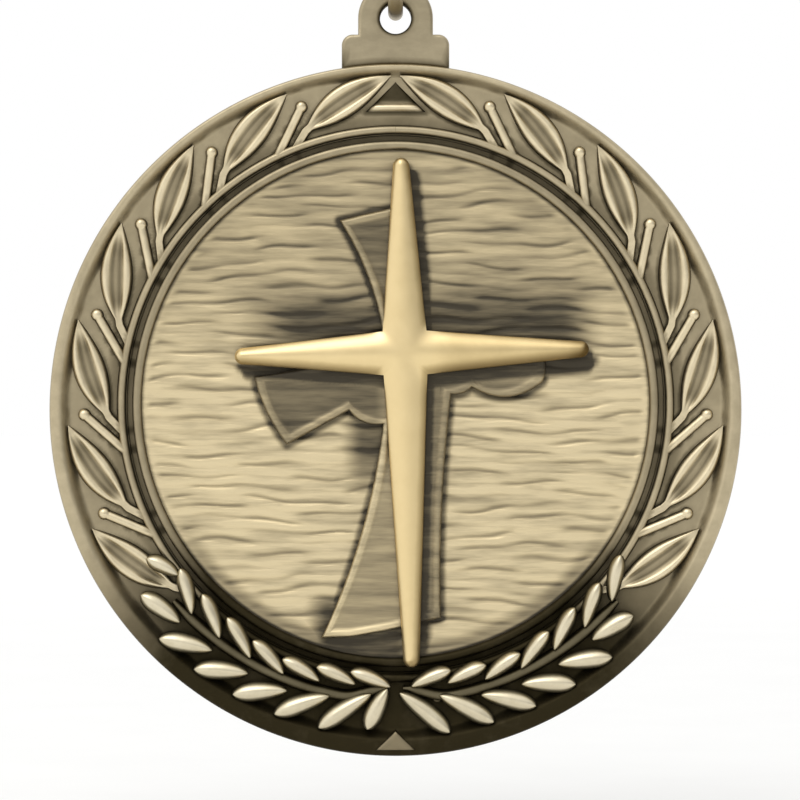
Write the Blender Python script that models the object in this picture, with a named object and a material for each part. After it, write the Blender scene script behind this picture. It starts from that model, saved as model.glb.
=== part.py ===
"""Award medal on a split ring, modelled as it hangs when it is worn.

A struck disc holds a bezel, a dished field disc and a low flared cross. A narrow bright cross
lies on the flared one, a laurel border runs round the bezel in two halves, and two laurel sprays
lie over the lower border. +Z is up, the face looks along -Y and +X is to the right. The origin is the
inside top of the split ring, where a ribbon bears.

Sizes are in millimetres. On the medal, places are given as right and up of the design's centre,
and heights are taken from the flat back.
"""
from math import cos, degrees, pi, radians, sin, sqrt

import bmesh
import bpy
from mathutils import Vector

MM = 0.001

# Clearances
SEAT = 0.06             # between a piece and what it is soldered or laid on
FIT = 0.1               # radial, between a piece and the hole or seat that takes it
WIRE_CLEARANCE = 0.15   # between the ring's wire and the top of the lug's hole

# Split ring
RING_INNER_R = 4.0
WIRE_R = 0.55
RING_SPLIT = 0.3
RING_STEPS = 40
WIRE_SIDES = 8

# Suspension lug
LUG_T = 1.5
LUG_HOLE_R = 1.15
LUG_EYE_WALL = 1.6
LUG_SHOULDER_H = 2.2    # above the top of the disc's edge
LUG_SHOULDER_W = 1.2    # past the eye on each side
LUG_SHOULDER_R = 0.8
LUG_NECK_H = 1.2        # from the shoulders to the hole's centre
LUG_HOLE_SIDES = 32
LUG_ARC_STEPS = 6

# Disc, and the widths of its zones from the edge inwards
DISC_DIAMETER = 50.8
RIM_W = 0.95
BORDER_W = 4.7
GROOVE_W = 0.4
BEZEL_W = 0.5            # its wall, without the lip
EDGE_DROP = 0.45        # the outer edge is struck this far below the design's centre
DISC_STEPS = 96

# Field disc and the bezel that holds it
FIELD_T = 0.55
FIELD_DISH = 0.2
BEZEL_LIP = 0.2         # over the edge of the field
BEZEL_BEAD_H = 0.45     # above the edge of the field
BEZEL_SHOULDER_DROP = 0.13

# Struck body
RECESS_FLOOR_H = 1.2
BORDER_H = 1.9
BORDER_RISE = 0.35
RIM_H = 2.95
RIM_ROUND = 0.35

# Small triangle on the rim, under the sprays' roots
MARK_HALF_W = 1.4
MARK_H = 1.5
MARK_EDGE_GAP = 0.45    # from the mark's foot to the disc's edge
MARK_RISE = 0.15        # above the rim

# Border wreath, in millimetres and in degrees from the top
STEM_LEDGE = 0.1        # from the recess's wall to the stem
STEM_W = 0.6
STEM_T = 0.62
STEM_END_GAP = 0.05     # half the joint between the two stems
LEAF_COUNT = 7
LEAF_PITCH = 18.6
LEAF_PARTING = 0.35     # half the opening between the two top leaves
LEAF_SWEEP = 17.5
LEAF_FOOT_SWEEP = 20.5
LEAF_BASE_OUT = 1.3     # from the recess's wall to the leaf's base
LEAF_TIP_GAP = 0.4      # from the leaf's tip to the rim
LEAF_HALF_W = 0.95
LEAF_TAIL_HALF_W = 0.2
LEAF_T = 0.5
LEAF_SINK = 0.16
BERRY_R = 0.48
BERRY_LEAD = 1.8
BERRY_OUT = 3.1         # from the recess's wall to the berry
TWIG_R = 0.22
TWIG_FOOT_SWEEP = 6.0

# Keystone under the two top leaves
KEYSTONE_HALF_W = 1.7
KEYSTONE_OUT = 1.85     # from the recess's wall to the keystone's foot
KEYSTONE_H = 1.7
KEYSTONE_T = 0.4

# Laurel sprays, in millimetres and in degrees from the top
SPRAY_STEM_GAP = 0.75   # from the wreath's stem to the spray's
SPRAY_STEM_HALF_W = 0.55
SPRAY_STEM_T = 0.3      # above the underside of the leaflets
SPRAY_STEM_STEPS = 16
SPRAY_ROOT_GAP = 0.6    # half the opening between the two sprays
SPRAY_LAP = 1.3         # past the foot of the border's last leaf
LEAFLET_SWEEP = 7.8
# Each row of leaflets: how many, where the first starts past the root, where the last starts before the tip
RIGHT_OUTER_ROW = (6, 0.0, 7.8)
RIGHT_INNER_ROW = (7, 2.4, 0.0)
LEFT_OUTER_ROW = (6, 4.0, 3.0)
LEFT_INNER_ROW = (7, 0.2, 3.5)
ROOT_LEAFLET_OUT = 1.7  # the left spray also has a short leaflet at its root and one at its tip
ROOT_LEAFLET_SWEEP = 3.4
TIP_LEAFLET_OUT = 1.0    # the tip leaflet starts near the end of the last inner one
TIP_LEAFLET_SWEEP = 5.5
LEAFLET_HALF_W = 0.5
LEAFLET_T = 0.62
OUTER_BASE_OUT = 0.4    # from the stem's middle to the outer leaflets' base
OUTER_TIP_GAP = 0.22    # from the leaflet's tip to the rim
OUTER_END_DROP = 1.1    # the last outer leaflet of a row leans in by this much
INNER_TIP_OUT = 0.6     # from the recess's wall to the leaflet's tip

# Flared cross
FLARED_T = 0.55
FLARED_BEVEL = 0.4
FLARED_SIDE_T = 0.25
FLARED_CURVE_STEPS = 5
# Corners of its head and foot: degrees from the top, gap to the bezel's lip, swell to the left of the edge
# that follows
FLARED_HEAD = ((-17.0, 4.55, 0.0), (3.5, 3.95, -0.8))
FLARED_FOOT = ((168.0, 2.6, 0.1), (191.0, 1.2, 0.0), (197.6, 0.6, -0.7))
# Corners of its arms, right and up, with the same swell
FLARED_RIGHT_ARM = (
    ((2.1, 5.4), 0.0), ((10.9, 3.8), 0.2), ((10.8, 1.6), 0.9), ((5.6, 1.2), 0.2), ((4.1, 0.7), -0.3),
)
FLARED_LEFT_ARM = (
    ((-0.95, -1.5), 0.4), ((-3.4, -0.5), 0.0), ((-8.0, -3.0), 0.3), ((-10.4, 2.0), -0.4), ((-0.9, 4.8), -0.5),
)

# Bright cross
CROSS_RIGHT = 0.7
CROSS_UP = 3.73
CROSS_TILT = 1.2
CROSS_ARM_LEFT = 12.5
CROSS_ARM_RIGHT = 13.5
CROSS_TOP_GAP = 0.6     # from the top arm's tip to the bezel's lip
CROSS_ROOT_HALF_W = 1.6
CROSS_TIP_HALF_W = 0.65
CROSS_SIDE_T = 0.35
CROSS_T = 0.95
CROSS_CREST_HALF_W = 0.15  # the crown's flat at the tips

# Rivets
CROSS_RIVET_R = 0.5
SPRAY_RIVET_R = 0.3
RIVET_HEAD_WALL = 0.5   # head's radius past the shank
RIVET_HEAD_T = 0.4
RIVET_HOLD = 0.45       # how far a rivet goes into the piece that it holds
CROSS_RIVET_DROP = 12.0
SPRAY_RIVET_INSET = 6.5  # degrees from either end of a spray's stem
RIVET_SIDES = 16

# Radii and heights that follow
FIELD_EDGE_H = RECESS_FLOOR_H + SEAT + FIELD_T + FIELD_DISH
BEZEL_TOP_H = FIELD_EDGE_H + BEZEL_BEAD_H
DISC_R = DISC_DIAMETER / 2
DISC_TOP = DISC_R - EDGE_DROP
RIM_INNER_R = DISC_R - RIM_W
RECESS_R = RIM_INNER_R - BORDER_W
BEZEL_OUTER_R = RECESS_R - GROOVE_W
BEZEL_INNER_R = BEZEL_OUTER_R - BEZEL_W
LIP_R = BEZEL_INNER_R - BEZEL_LIP
FIELD_R = BEZEL_INNER_R - FIT
STEM_MIDDLE_R = RECESS_R + STEM_LEDGE + STEM_W / 2
LEAF_TIP_R = RIM_INNER_R - LEAF_TIP_GAP
FIRST_TIP = degrees(LEAF_PARTING / LEAF_TIP_R)
LAST_FOOT = FIRST_TIP + (LEAF_COUNT - 1) * LEAF_PITCH + LEAF_FOOT_SWEEP
SPRAY_STEM_R = STEM_MIDDLE_R + STEM_W / 2 + SPRAY_STEM_GAP + SPRAY_STEM_HALF_W
SPRAY_ROOT = 180 - degrees(SPRAY_ROOT_GAP / SPRAY_STEM_R)
SPRAY_TIP = LAST_FOOT - SPRAY_LAP
SPRAY_FLOOR_H = BORDER_H + BORDER_RISE * (SPRAY_STEM_R + SPRAY_STEM_HALF_W - RECESS_R) / BORDER_W
WREATH_TOP_H = BORDER_H + BORDER_RISE + SEAT + max(STEM_T - BORDER_RISE, LEAF_T)
SPRAY_UNDER_H = WREATH_TOP_H + SEAT
CROSS_UNDER_H = max(BEZEL_TOP_H, FIELD_EDGE_H + SEAT + FLARED_T) + SEAT

# Hanging heights, from the ring's inside top
RING_MIDDLE_R = RING_INNER_R + WIRE_R
HINGE_DROP = RING_INNER_R + RING_MIDDLE_R
LUG_EYE_R = LUG_HOLE_R + LUG_EYE_WALL
LUG_HOLE_RISE = LUG_SHOULDER_H + LUG_NECK_H
HOLE_DROP = HINGE_DROP + LUG_HOLE_R - WIRE_R - WIRE_CLEARANCE
CENTRE_DROP = HOLE_DROP + LUG_HOLE_RISE + DISC_TOP
LUG_MIDDLE_H = RIM_H / 2

# Colour and roughness of each finish
FINISHES = {
    "antique_brass": ((0.36, 0.30, 0.19, 1.0), 0.42),
    "grained_brass": ((0.47, 0.39, 0.25, 1.0), 0.48),
    "bright_brass": ((0.76, 0.58, 0.28, 1.0), 0.28),
    "pale_brass": ((0.62, 0.54, 0.38, 1.0), 0.33),
    "lug_brass": ((0.42, 0.35, 0.23, 1.0), 0.38),
}


def clear_scene():
    """Take every object out of the scene."""
    for old in list(bpy.data.objects):
        bpy.data.objects.remove(old, do_unlink=True)


def finish(name):
    """Material of a finish, made once."""
    found = bpy.data.materials.get(name)
    if found:
        return found
    colour, roughness = FINISHES[name]
    made = bpy.data.materials.new(name)
    made.use_nodes = True
    shader = made.node_tree.nodes["Principled BSDF"]
    shader.inputs["Base Color"].default_value = colour
    shader.inputs["Roughness"].default_value = roughness
    shader.inputs["Metallic"].default_value = 1.0
    return made


def place(right, up, height):
    """Point on the medal, from its place on the face and its height above the back."""
    return Vector((right, -height, up)) * MM


def polar(radius, angle, side=1):
    """Right and up of a point at an angle from the top; side -1 is the left half."""
    return Vector((side * radius * sin(radians(angle)), radius * cos(radians(angle))))


def circle(radius, height, steps, right=0.0, up=0.0):
    """Loop of points round a place on the face."""
    turns = [2 * pi * step / steps for step in range(steps)]
    return [place(right + radius * sin(turn), up + radius * cos(turn), height) for turn in turns]


def skin(shape, loops, ring=False):
    """Skin loops of equal length; the end loops are filled, or joined to each other in a ring."""
    rows = [[shape.verts.new(point) for point in loop] for loop in loops]
    followers = rows[1:] + rows[:1] if ring else rows[1:]
    for row, follower in zip(rows, followers):
        for index in range(len(row)):
            after = (index + 1) % len(row)
            shape.faces.new((row[index], row[after], follower[after], follower[index]))
    if not ring:
        shape.faces.new(rows[0])
        shape.faces.new(rows[-1])


def add_object(name, shape, parent, finish_name=None):
    """Put a shape into the scene; one without a finish is a helper that isn't part of the medal."""
    bmesh.ops.recalc_face_normals(shape, faces=shape.faces[:])
    mesh = bpy.data.meshes.new(name)
    shape.to_mesh(mesh)
    shape.free()
    made = bpy.data.objects.new(name, mesh)
    bpy.context.scene.collection.objects.link(made)
    made.parent = parent
    if finish_name:
        mesh.materials.append(finish(finish_name))
        mesh.shade_smooth()
        mesh.set_sharp_from_angle(angle=radians(35))
    else:
        made.hide_render = True
        made.display_type = "WIRE"
    return made


def combine(target, helper, operation):
    """Cut a helper out of a piece, or weld it on."""
    change = target.modifiers.new(helper.name, "BOOLEAN")
    change.operation = operation
    change.object = helper
    change.solver = "EXACT"
    change.use_self = operation == "UNION"


def border_floor(point):
    """Height of the border's floor, which rises from the recess's wall to the rim."""
    share = (point.length - RECESS_R) / BORDER_W
    return BORDER_H + BORDER_RISE * min(max(share, 0.0), 1.0)


def field_top(point):
    """Height of the dished field: lowest in the middle, rising with the square of the radius."""
    return FIELD_EDGE_H - FIELD_DISH * (1 - (point.length / FIELD_R) ** 2)


def relief(path, half_widths, section, floor):
    """Loops of a bar in relief: a section across each path point, over a floor.

    section gives (share of the half width, rise above the floor) pairs for a half width.
    """
    loops = []
    for index, (point, half_width) in enumerate(zip(path, half_widths)):
        before = path[max(index - 1, 0)]
        after = path[min(index + 1, len(path) - 1)]
        along = (after - before).normalized()
        across = Vector((-along.y, along.x))
        loop = []
        for share, rise in section(half_width):
            spot = point + across * share * half_width
            loop.append(place(spot.x, spot.y, floor(spot) + SEAT + rise))
        loops.append(loop)
    return loops


def arc_path(radius, start, end, steps, side):
    """Points on an arc round the design's centre."""
    return [polar(radius, start + (end - start) * step / steps, side) for step in range(steps + 1)]


def triangle(half_width, foot_up, tall, share, height):
    """Loop of a triangle that points up, drawn in to a share of its size round its middle."""
    middle = foot_up + tall / 3
    spots = ((-half_width, -tall / 3), (half_width, -tall / 3), (0.0, tall * 2 / 3))
    return [place(right * share, middle + up * share, height) for right, up in spots]


def make_ring():
    """Split wire ring, standing edge-on to the face, split at the back."""
    half_split = RING_SPLIT / 2 / RING_MIDDLE_R
    loops = []
    for step in range(RING_STEPS + 1):
        turn = half_split + (2 * pi - 2 * half_split) * step / RING_STEPS
        outward = Vector((0.0, cos(turn), sin(turn)))
        middle = outward * RING_MIDDLE_R + Vector((0.0, 0.0, -RING_INNER_R))
        sides = [2 * pi * (side + 0.5) / WIRE_SIDES for side in range(WIRE_SIDES)]
        loops.append([
            (middle + outward * WIRE_R * cos(around) + Vector((WIRE_R * sin(around), 0.0, 0.0))) * MM
            for around in sides
        ])
    shape = bmesh.new()
    skin(shape, loops)
    return add_object("jump_ring", shape, None, "lug_brass")


def lug_outline():
    """Outline of the lug: a foot on the disc's edge, two rounded shoulders and a round eye."""
    foot_r = DISC_R + SEAT
    foot_half = LUG_EYE_R + LUG_SHOULDER_W
    shoulder_up = DISC_TOP + LUG_SHOULDER_H
    hole_up = DISC_TOP + LUG_HOLE_RISE
    steps = LUG_ARC_STEPS
    foot = []
    for step in range(2 * steps + 1):
        right = foot_half * (step / steps - 1)
        foot.append((right, sqrt(foot_r ** 2 - right ** 2) - EDGE_DROP))
    shoulder = []
    for step in range(steps + 1):
        turn = pi / 2 * step / steps
        shoulder.append((foot_half - LUG_SHOULDER_R * (1 - cos(turn)),
                         shoulder_up - LUG_SHOULDER_R * (1 - sin(turn))))
    shoulder.append((LUG_EYE_R, shoulder_up))
    eye = []
    for step in range(3 * steps + 1):
        turn = pi * step / (3 * steps)
        eye.append((LUG_EYE_R * cos(turn), hole_up + LUG_EYE_R * sin(turn)))
    far_shoulder = [(-right, up) for right, up in reversed(shoulder)]
    return foot + shoulder + eye + far_shoulder


def make_lug(pivot):
    """Flat lug with a hole from front to back."""
    shape = bmesh.new()
    low = LUG_MIDDLE_H - LUG_T / 2
    high = LUG_MIDDLE_H + LUG_T / 2
    skin(shape, [[place(right, up, height) for right, up in lug_outline()] for height in (low, high)])
    lug = add_object("suspension_lug", shape, pivot, "lug_brass")
    hole = bmesh.new()
    hole_up = DISC_TOP + LUG_HOLE_RISE
    skin(hole, [circle(LUG_HOLE_R, height, LUG_HOLE_SIDES, up=hole_up) for height in (low - 1, high + 1)])
    combine(lug, add_object("lug_hole", hole, pivot), "DIFFERENCE")
    return lug


def make_body(pivot):
    """Struck disc: flat back, rounded edge, rim, rising border floor and a recess in the middle."""
    edge = [
        (DISC_R - RIM_ROUND, 0.0),
        (DISC_R, RIM_ROUND),
        (DISC_R, RIM_H - 2 * RIM_ROUND),
        (DISC_R - RIM_ROUND / 3, RIM_H - RIM_ROUND / 2),
    ]
    design = [
        (RIM_INNER_R + RIM_W - EDGE_DROP - RIM_ROUND, RIM_H),
        (RIM_INNER_R, BORDER_H + BORDER_RISE),
        (RECESS_R, BORDER_H),
        (RECESS_R, RECESS_FLOOR_H),
    ]
    loops = [circle(radius, height, DISC_STEPS, up=-EDGE_DROP) for radius, height in edge]
    loops += [circle(radius, height, DISC_STEPS) for radius, height in design]
    shape = bmesh.new()
    skin(shape, loops)
    body = add_object("medal_body", shape, pivot, "antique_brass")
    mark = bmesh.new()
    foot_up = MARK_EDGE_GAP - DISC_R - EDGE_DROP
    layers = ((1.0, BORDER_H), (0.9, RIM_H), (0.45, RIM_H + MARK_RISE))
    skin(mark, [triangle(MARK_HALF_W, foot_up, MARK_H, share, height) for share, height in layers])
    combine(body, add_object("rim_mark", mark, pivot), "UNION")
    return body


def make_field(pivot):
    """Thin disc in the recess with a dished face."""
    under = RECESS_FLOOR_H + SEAT
    loops = [circle(FIELD_R, under, DISC_STEPS)]
    for share in (1.0, 0.75, 0.5, 0.25):
        radius = FIELD_R * share
        loops.append(circle(radius, field_top(Vector((radius, 0.0))), DISC_STEPS))
    shape = bmesh.new()
    skin(shape, loops)
    return add_object("field_disc", shape, pivot, "grained_brass")


def make_bezel(pivot):
    """Beaded ring with a lip over the edge of the field disc."""
    lip_h = FIELD_EDGE_H + SEAT
    under = RECESS_FLOOR_H + SEAT
    middle = (LIP_R + BEZEL_OUTER_R) / 2
    shoulder = (BEZEL_OUTER_R - LIP_R) / 4
    profile = [
        (BEZEL_INNER_R, under),
        (BEZEL_INNER_R, lip_h),
        (LIP_R, lip_h),
        (middle - shoulder, BEZEL_TOP_H - BEZEL_SHOULDER_DROP),
        (middle, BEZEL_TOP_H),
        (middle + shoulder, BEZEL_TOP_H - BEZEL_SHOULDER_DROP),
        (BEZEL_OUTER_R, lip_h),
        (BEZEL_OUTER_R, under),
    ]
    shape = bmesh.new()
    skin(shape, [circle(radius, height, DISC_STEPS) for radius, height in profile], ring=True)
    return add_object("bezel_ring", shape, pivot, "antique_brass")


def stem_section(half_width):
    """Rounded bar of the wreath's stem."""
    return [(-1, 0), (-1, STEM_T / 2), (-0.35, STEM_T), (0.35, STEM_T), (1, STEM_T / 2), (1, 0)]


def leaf_section(half_width):
    """Leaf with a raised contour and a sunken middle, lower where it is narrow."""
    fullness = min(half_width / LEAF_HALF_W, 1.0)
    crest = LEAF_T * (0.6 + 0.4 * fullness)
    return [(-1, 0), (-1, crest * 0.5), (-0.6, crest), (0, crest - LEAF_SINK * fullness),
            (0.6, crest), (1, crest * 0.5), (1, 0)]


def round_section(half_width):
    """Round bar that lies on its floor."""
    turns = [2 * pi * (step + 0.5) / 6 for step in range(6)]
    return [(cos(turn), half_width * (1 + sin(turn))) for turn in turns]


def add_leaf(shape, tip_angle, side):
    """Leaf of the border: a tail from the stem and a lens from its base out to its tip."""
    base_r = RECESS_R + LEAF_BASE_OUT
    base_angle = tip_angle + LEAF_SWEEP
    path = [polar(STEM_MIDDLE_R, tip_angle + LEAF_FOOT_SWEEP, side)]
    half_widths = [LEAF_TAIL_HALF_W]
    steps = 7
    for step in range(steps + 1):
        share = step / steps
        path.append(polar(base_r + (LEAF_TIP_R - base_r) * share, base_angle - LEAF_SWEEP * share, side))
        half_widths.append(max(LEAF_HALF_W * sin(pi * share), LEAF_TAIL_HALF_W * (1 - 0.6 * share)))
    skin(shape, relief(path, half_widths, leaf_section, border_floor))


def add_twig(shape, tip_angle, side):
    """Thin twig from the stem with a round berry on its end."""
    foot = polar(STEM_MIDDLE_R, tip_angle + TWIG_FOOT_SWEEP, side)
    berry = polar(RECESS_R + BERRY_OUT, tip_angle - BERRY_LEAD, side)
    along = (berry - foot).normalized()
    path = [foot, berry - along * BERRY_R]
    half_widths = [TWIG_R, TWIG_R]
    for turn in (-45, 0, 45, 72):
        path.append(berry + along * BERRY_R * sin(radians(turn)))
        half_widths.append(BERRY_R * cos(radians(turn)))
    skin(shape, relief(path, half_widths, round_section, border_floor))


def make_wreath(name, side, pivot):
    """Half of the border: a stem with leaves and berry twigs welded to it."""
    gap_angle = degrees(STEM_END_GAP / STEM_MIDDLE_R)
    stem = bmesh.new()
    path = arc_path(STEM_MIDDLE_R, gap_angle, 180 - gap_angle, DISC_STEPS // 2, side)
    skin(stem, relief(path, [STEM_W / 2] * len(path), stem_section, lambda spot: border_floor(path[0])))
    wreath = add_object(name, stem, pivot, "antique_brass")
    growth = bmesh.new()
    for leaf in range(LEAF_COUNT):
        tip_angle = FIRST_TIP + leaf * LEAF_PITCH
        add_leaf(growth, tip_angle, side)
        if leaf > 0:
            add_twig(growth, tip_angle, side)
    combine(wreath, add_object(name + "_growth", growth, pivot), "UNION")
    return wreath


def make_keystone(pivot):
    """Small triangle on the border's floor, under the tips of the two top leaves."""
    foot_up = RECESS_R + KEYSTONE_OUT
    under = border_floor(Vector((0.0, foot_up + KEYSTONE_H))) + SEAT
    shape = bmesh.new()
    skin(shape, [triangle(KEYSTONE_HALF_W, foot_up, KEYSTONE_H, share, height) for share, height in (
        (1.0, under), (0.4, under + KEYSTONE_T))])
    return add_object("wreath_keystone", shape, pivot, "antique_brass")


def leaflet_section(half_width):
    """Rounded bar of a spray's leaflet."""
    crest = LEAFLET_T * (0.55 + 0.45 * min(half_width / LEAFLET_HALF_W, 1.0))
    return [(-1, 0), (-0.9, crest * 0.55), (-0.4, crest), (0.4, crest), (0.9, crest * 0.55), (1, 0)]


def spray_stem_section(half_width):
    """Stem of a spray, which reaches from the border's floor to just above the leaflets' underside."""
    side = SPRAY_UNDER_H - SPRAY_FLOOR_H - SEAT
    top = side + SPRAY_STEM_T
    return [(-1, 0), (-1, side), (-0.6, top), (0.6, top), (1, side), (1, 0)]


def add_leaflet(shape, base, tip):
    """Leaflet from the spray's stem to its own tip, fullest past its middle."""
    shares = (0.0, 0.3, 0.6, 0.85, 1.0)
    fullness = (0.55, 0.9, 1.0, 0.75, 0.35)
    path = [base.lerp(tip, share) for share in shares]
    half_widths = [LEAFLET_HALF_W * full for full in fullness]
    skin(shape, relief(path, half_widths, leaflet_section, lambda spot: SPRAY_UNDER_H - SEAT))


def add_row(shape, row, base_r, tip_r, side, end_drop=0.0):
    """Row of leaflets along one side of a spray's stem; gives back the angle of the last one's tip."""
    count, past_root, before_tip = row
    first = SPRAY_ROOT - past_root
    last = SPRAY_TIP + before_tip
    for leaflet in range(count):
        angle = first + (last - first) * leaflet / (count - 1)
        lean = end_drop if leaflet == count - 1 else 0.0
        add_leaflet(shape, polar(base_r, angle, side), polar(tip_r - lean, angle - LEAFLET_SWEEP, side))
    return last - LEAFLET_SWEEP


def make_spray(name, side, outer_row, inner_row, pivot):
    """Laurel spray: a stem on the border's floor, with leaflets to both sides above the wreath."""
    stem = bmesh.new()
    path = arc_path(SPRAY_STEM_R, SPRAY_ROOT, SPRAY_TIP, SPRAY_STEM_STEPS, side)
    half_widths = [SPRAY_STEM_HALF_W] * len(path)
    skin(stem, relief(path, half_widths, spray_stem_section, lambda spot: SPRAY_FLOOR_H))
    spray = add_object(name, stem, pivot, "pale_brass")
    growth = bmesh.new()
    add_row(growth, outer_row, SPRAY_STEM_R + OUTER_BASE_OUT, RIM_INNER_R - OUTER_TIP_GAP, side, OUTER_END_DROP)
    inner_tip_r = RECESS_R + INNER_TIP_OUT
    inner_end = add_row(growth, inner_row, SPRAY_STEM_R, inner_tip_r, side)
    if side < 0:
        add_leaflet(growth, polar(SPRAY_STEM_R, SPRAY_ROOT, side),
                    polar(SPRAY_STEM_R + ROOT_LEAFLET_OUT, SPRAY_ROOT - ROOT_LEAFLET_SWEEP, side))
        add_leaflet(growth, polar(inner_tip_r + SEAT, inner_end + 1, side),
                    polar(inner_tip_r + TIP_LEAFLET_OUT, inner_end - TIP_LEAFLET_SWEEP, side))
    combine(spray, add_object(name + "_growth", growth, pivot), "UNION")
    return spray


def bowed(start, end, bow, steps):
    """Points from start up to, but not at, end, on a curve that swells to the left by bow."""
    along = end - start
    left = Vector((-along.y, along.x)).normalized()
    points = []
    for step in range(steps):
        share = step / steps
        points.append(start.lerp(end, share) + left * bow * 4 * share * (1 - share))
    return points


def flared_outline():
    """Outline of the flared cross, clockwise from the top left corner."""
    corners = [(polar(LIP_R - gap, angle), bow) for angle, gap, bow in FLARED_HEAD]
    corners += [(Vector(corner), bow) for corner, bow in FLARED_RIGHT_ARM]
    corners += [(polar(LIP_R - gap, angle), bow) for angle, gap, bow in FLARED_FOOT]
    corners += [(Vector(corner), bow) for corner, bow in FLARED_LEFT_ARM]
    outline = []
    for index, (corner, bow) in enumerate(corners):
        after = corners[(index + 1) % len(corners)][0]
        steps = FLARED_CURVE_STEPS if bow else 1
        outline += bowed(corner, after, bow, steps)
    return outline


def make_flared_cross(pivot):
    """Low flared cross on the field disc, with a bevel round its face."""
    outline = flared_outline()
    shape = bmesh.new()
    side_h = field_top(Vector((0.0, 0.0))) + SEAT + FIELD_DISH + FLARED_SIDE_T
    low = [place(spot.x, spot.y, field_top(spot) + SEAT) for spot in outline]
    side = [place(spot.x, spot.y, side_h) for spot in outline]
    skin(shape, [low, side])
    bmesh.ops.recalc_face_normals(shape, faces=shape.faces[:])
    face = max(shape.faces, key=lambda found: -found.calc_center_median().y)
    rise = FLARED_T - FLARED_SIDE_T
    bmesh.ops.inset_region(shape, faces=[face], thickness=FLARED_BEVEL * MM, depth=rise * MM,
                           use_even_offset=True)
    return add_object("flared_cross", shape, pivot, "grained_brass")


def cross_outline(narrower):
    """Outline of the bright cross, drawn in by some width on every side: four tapered arms."""
    arms = [
        LIP_R - CROSS_TOP_GAP - CROSS_UP,
        CROSS_ARM_RIGHT,
        BEZEL_OUTER_R + CROSS_UP,
        CROSS_ARM_LEFT,
    ]
    root = CROSS_ROOT_HALF_W - narrower
    tip = CROSS_TIP_HALF_W - narrower
    outline = []
    for index, length in enumerate(arms):
        turn = radians(CROSS_TILT) - index * pi / 2
        along = Vector((-sin(turn), cos(turn)))
        across = Vector((cos(turn), sin(turn)))
        outline.append(along * root - across * root)
        round_start = length - CROSS_TIP_HALF_W
        for step in range(6):
            around = pi * step / 5
            outline.append(along * (round_start + tip * sin(around)) - across * tip * cos(around))
    middle = Vector((CROSS_RIGHT, CROSS_UP))
    return [middle + spot for spot in outline]


def make_bright_cross(pivot):
    """Narrow domed cross on the flared one, with its foot over the bezel."""
    crown = CROSS_TIP_HALF_W - CROSS_CREST_HALF_W
    layers = [
        (0.0, 0.0),
        (0.0, CROSS_SIDE_T),
        (crown / 2, CROSS_SIDE_T + (CROSS_T - CROSS_SIDE_T) * 0.75),
        (crown, CROSS_T),
    ]
    loops = []
    for narrower, rise in layers:
        loops.append([place(spot.x, spot.y, CROSS_UNDER_H + rise) for spot in cross_outline(narrower)])
    shape = bmesh.new()
    skin(shape, loops)
    return add_object("bright_cross", shape, pivot, "bright_brass")


def make_rivet(name, spot, shank_r, top_h, pivot, held):
    """Rivet with a flush head in the back, and its hole in every piece that it goes through."""
    head_r = shank_r + RIVET_HEAD_WALL
    shape = bmesh.new()
    skin(shape, [circle(radius, height, RIVET_SIDES, spot.x, spot.y) for radius, height in (
        (head_r, SEAT), (head_r, RIVET_HEAD_T), (shank_r, RIVET_HEAD_T), (shank_r, top_h))])
    add_object(name, shape, pivot, "antique_brass")
    hole = bmesh.new()
    skin(hole, [circle(radius, height, RIVET_SIDES, spot.x, spot.y) for radius, height in (
        (head_r + FIT, -1.0), (head_r + FIT, RIVET_HEAD_T + SEAT),
        (shank_r + FIT, RIVET_HEAD_T + SEAT), (shank_r + FIT, top_h + SEAT))])
    cutter = add_object(name + "_hole", hole, pivot)
    for piece in held:
        combine(piece, cutter, "DIFFERENCE")


def main():
    """Build the ring, then every piece of the medal on the hinge."""
    clear_scene()
    make_ring()
    hinge = bpy.data.objects.new("medal_hinge", None)
    bpy.context.scene.collection.objects.link(hinge)
    hinge.location = (0.0, 0.0, -HINGE_DROP * MM)
    pivot = bpy.data.objects.new("medal_back_centre", None)
    bpy.context.scene.collection.objects.link(pivot)
    pivot.parent = hinge
    pivot.location = (0.0, LUG_MIDDLE_H * MM, (HINGE_DROP - CENTRE_DROP) * MM)

    make_lug(pivot)
    body = make_body(pivot)
    field = make_field(pivot)
    make_bezel(pivot)
    flared = make_flared_cross(pivot)
    bright = make_bright_cross(pivot)
    make_wreath("left_border_wreath", -1, pivot)
    make_wreath("right_border_wreath", 1, pivot)
    make_keystone(pivot)

    crossing = Vector((CROSS_RIGHT, CROSS_UP))
    down = Vector((sin(radians(CROSS_TILT)), -cos(radians(CROSS_TILT))))
    for name, spot in (("upper", crossing), ("lower", crossing + down * CROSS_RIVET_DROP)):
        make_rivet("cross_rivet_" + name, spot, CROSS_RIVET_R, CROSS_UNDER_H + RIVET_HOLD, pivot,
                   (body, field, flared, bright))
    sides = (("left", -1, LEFT_OUTER_ROW, LEFT_INNER_ROW), ("right", 1, RIGHT_OUTER_ROW, RIGHT_INNER_ROW))
    for name, side, outer_row, inner_row in sides:
        spray = make_spray(name + "_laurel_spray", side, outer_row, inner_row, pivot)
        for end, angle in (("root", SPRAY_ROOT - SPRAY_RIVET_INSET), ("tip", SPRAY_TIP + SPRAY_RIVET_INSET)):
            spot = polar(SPRAY_STEM_R, angle, side)
            make_rivet(f"{name}_spray_rivet_{end}", spot, SPRAY_RIVET_R, SPRAY_UNDER_H, pivot, (body, spray))


main()
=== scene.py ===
"""Looks of the award medal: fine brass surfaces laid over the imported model, and the studio round it.

Sizes are in millimetres. A place on the face is given as right and up of the design's centre, with a
height above the flat back. Face turns such places into the model's own metres.
"""
import logging
from collections.abc import Callable, Sequence
from dataclasses import dataclass
from enum import Enum
from math import degrees, pi, radians

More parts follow.
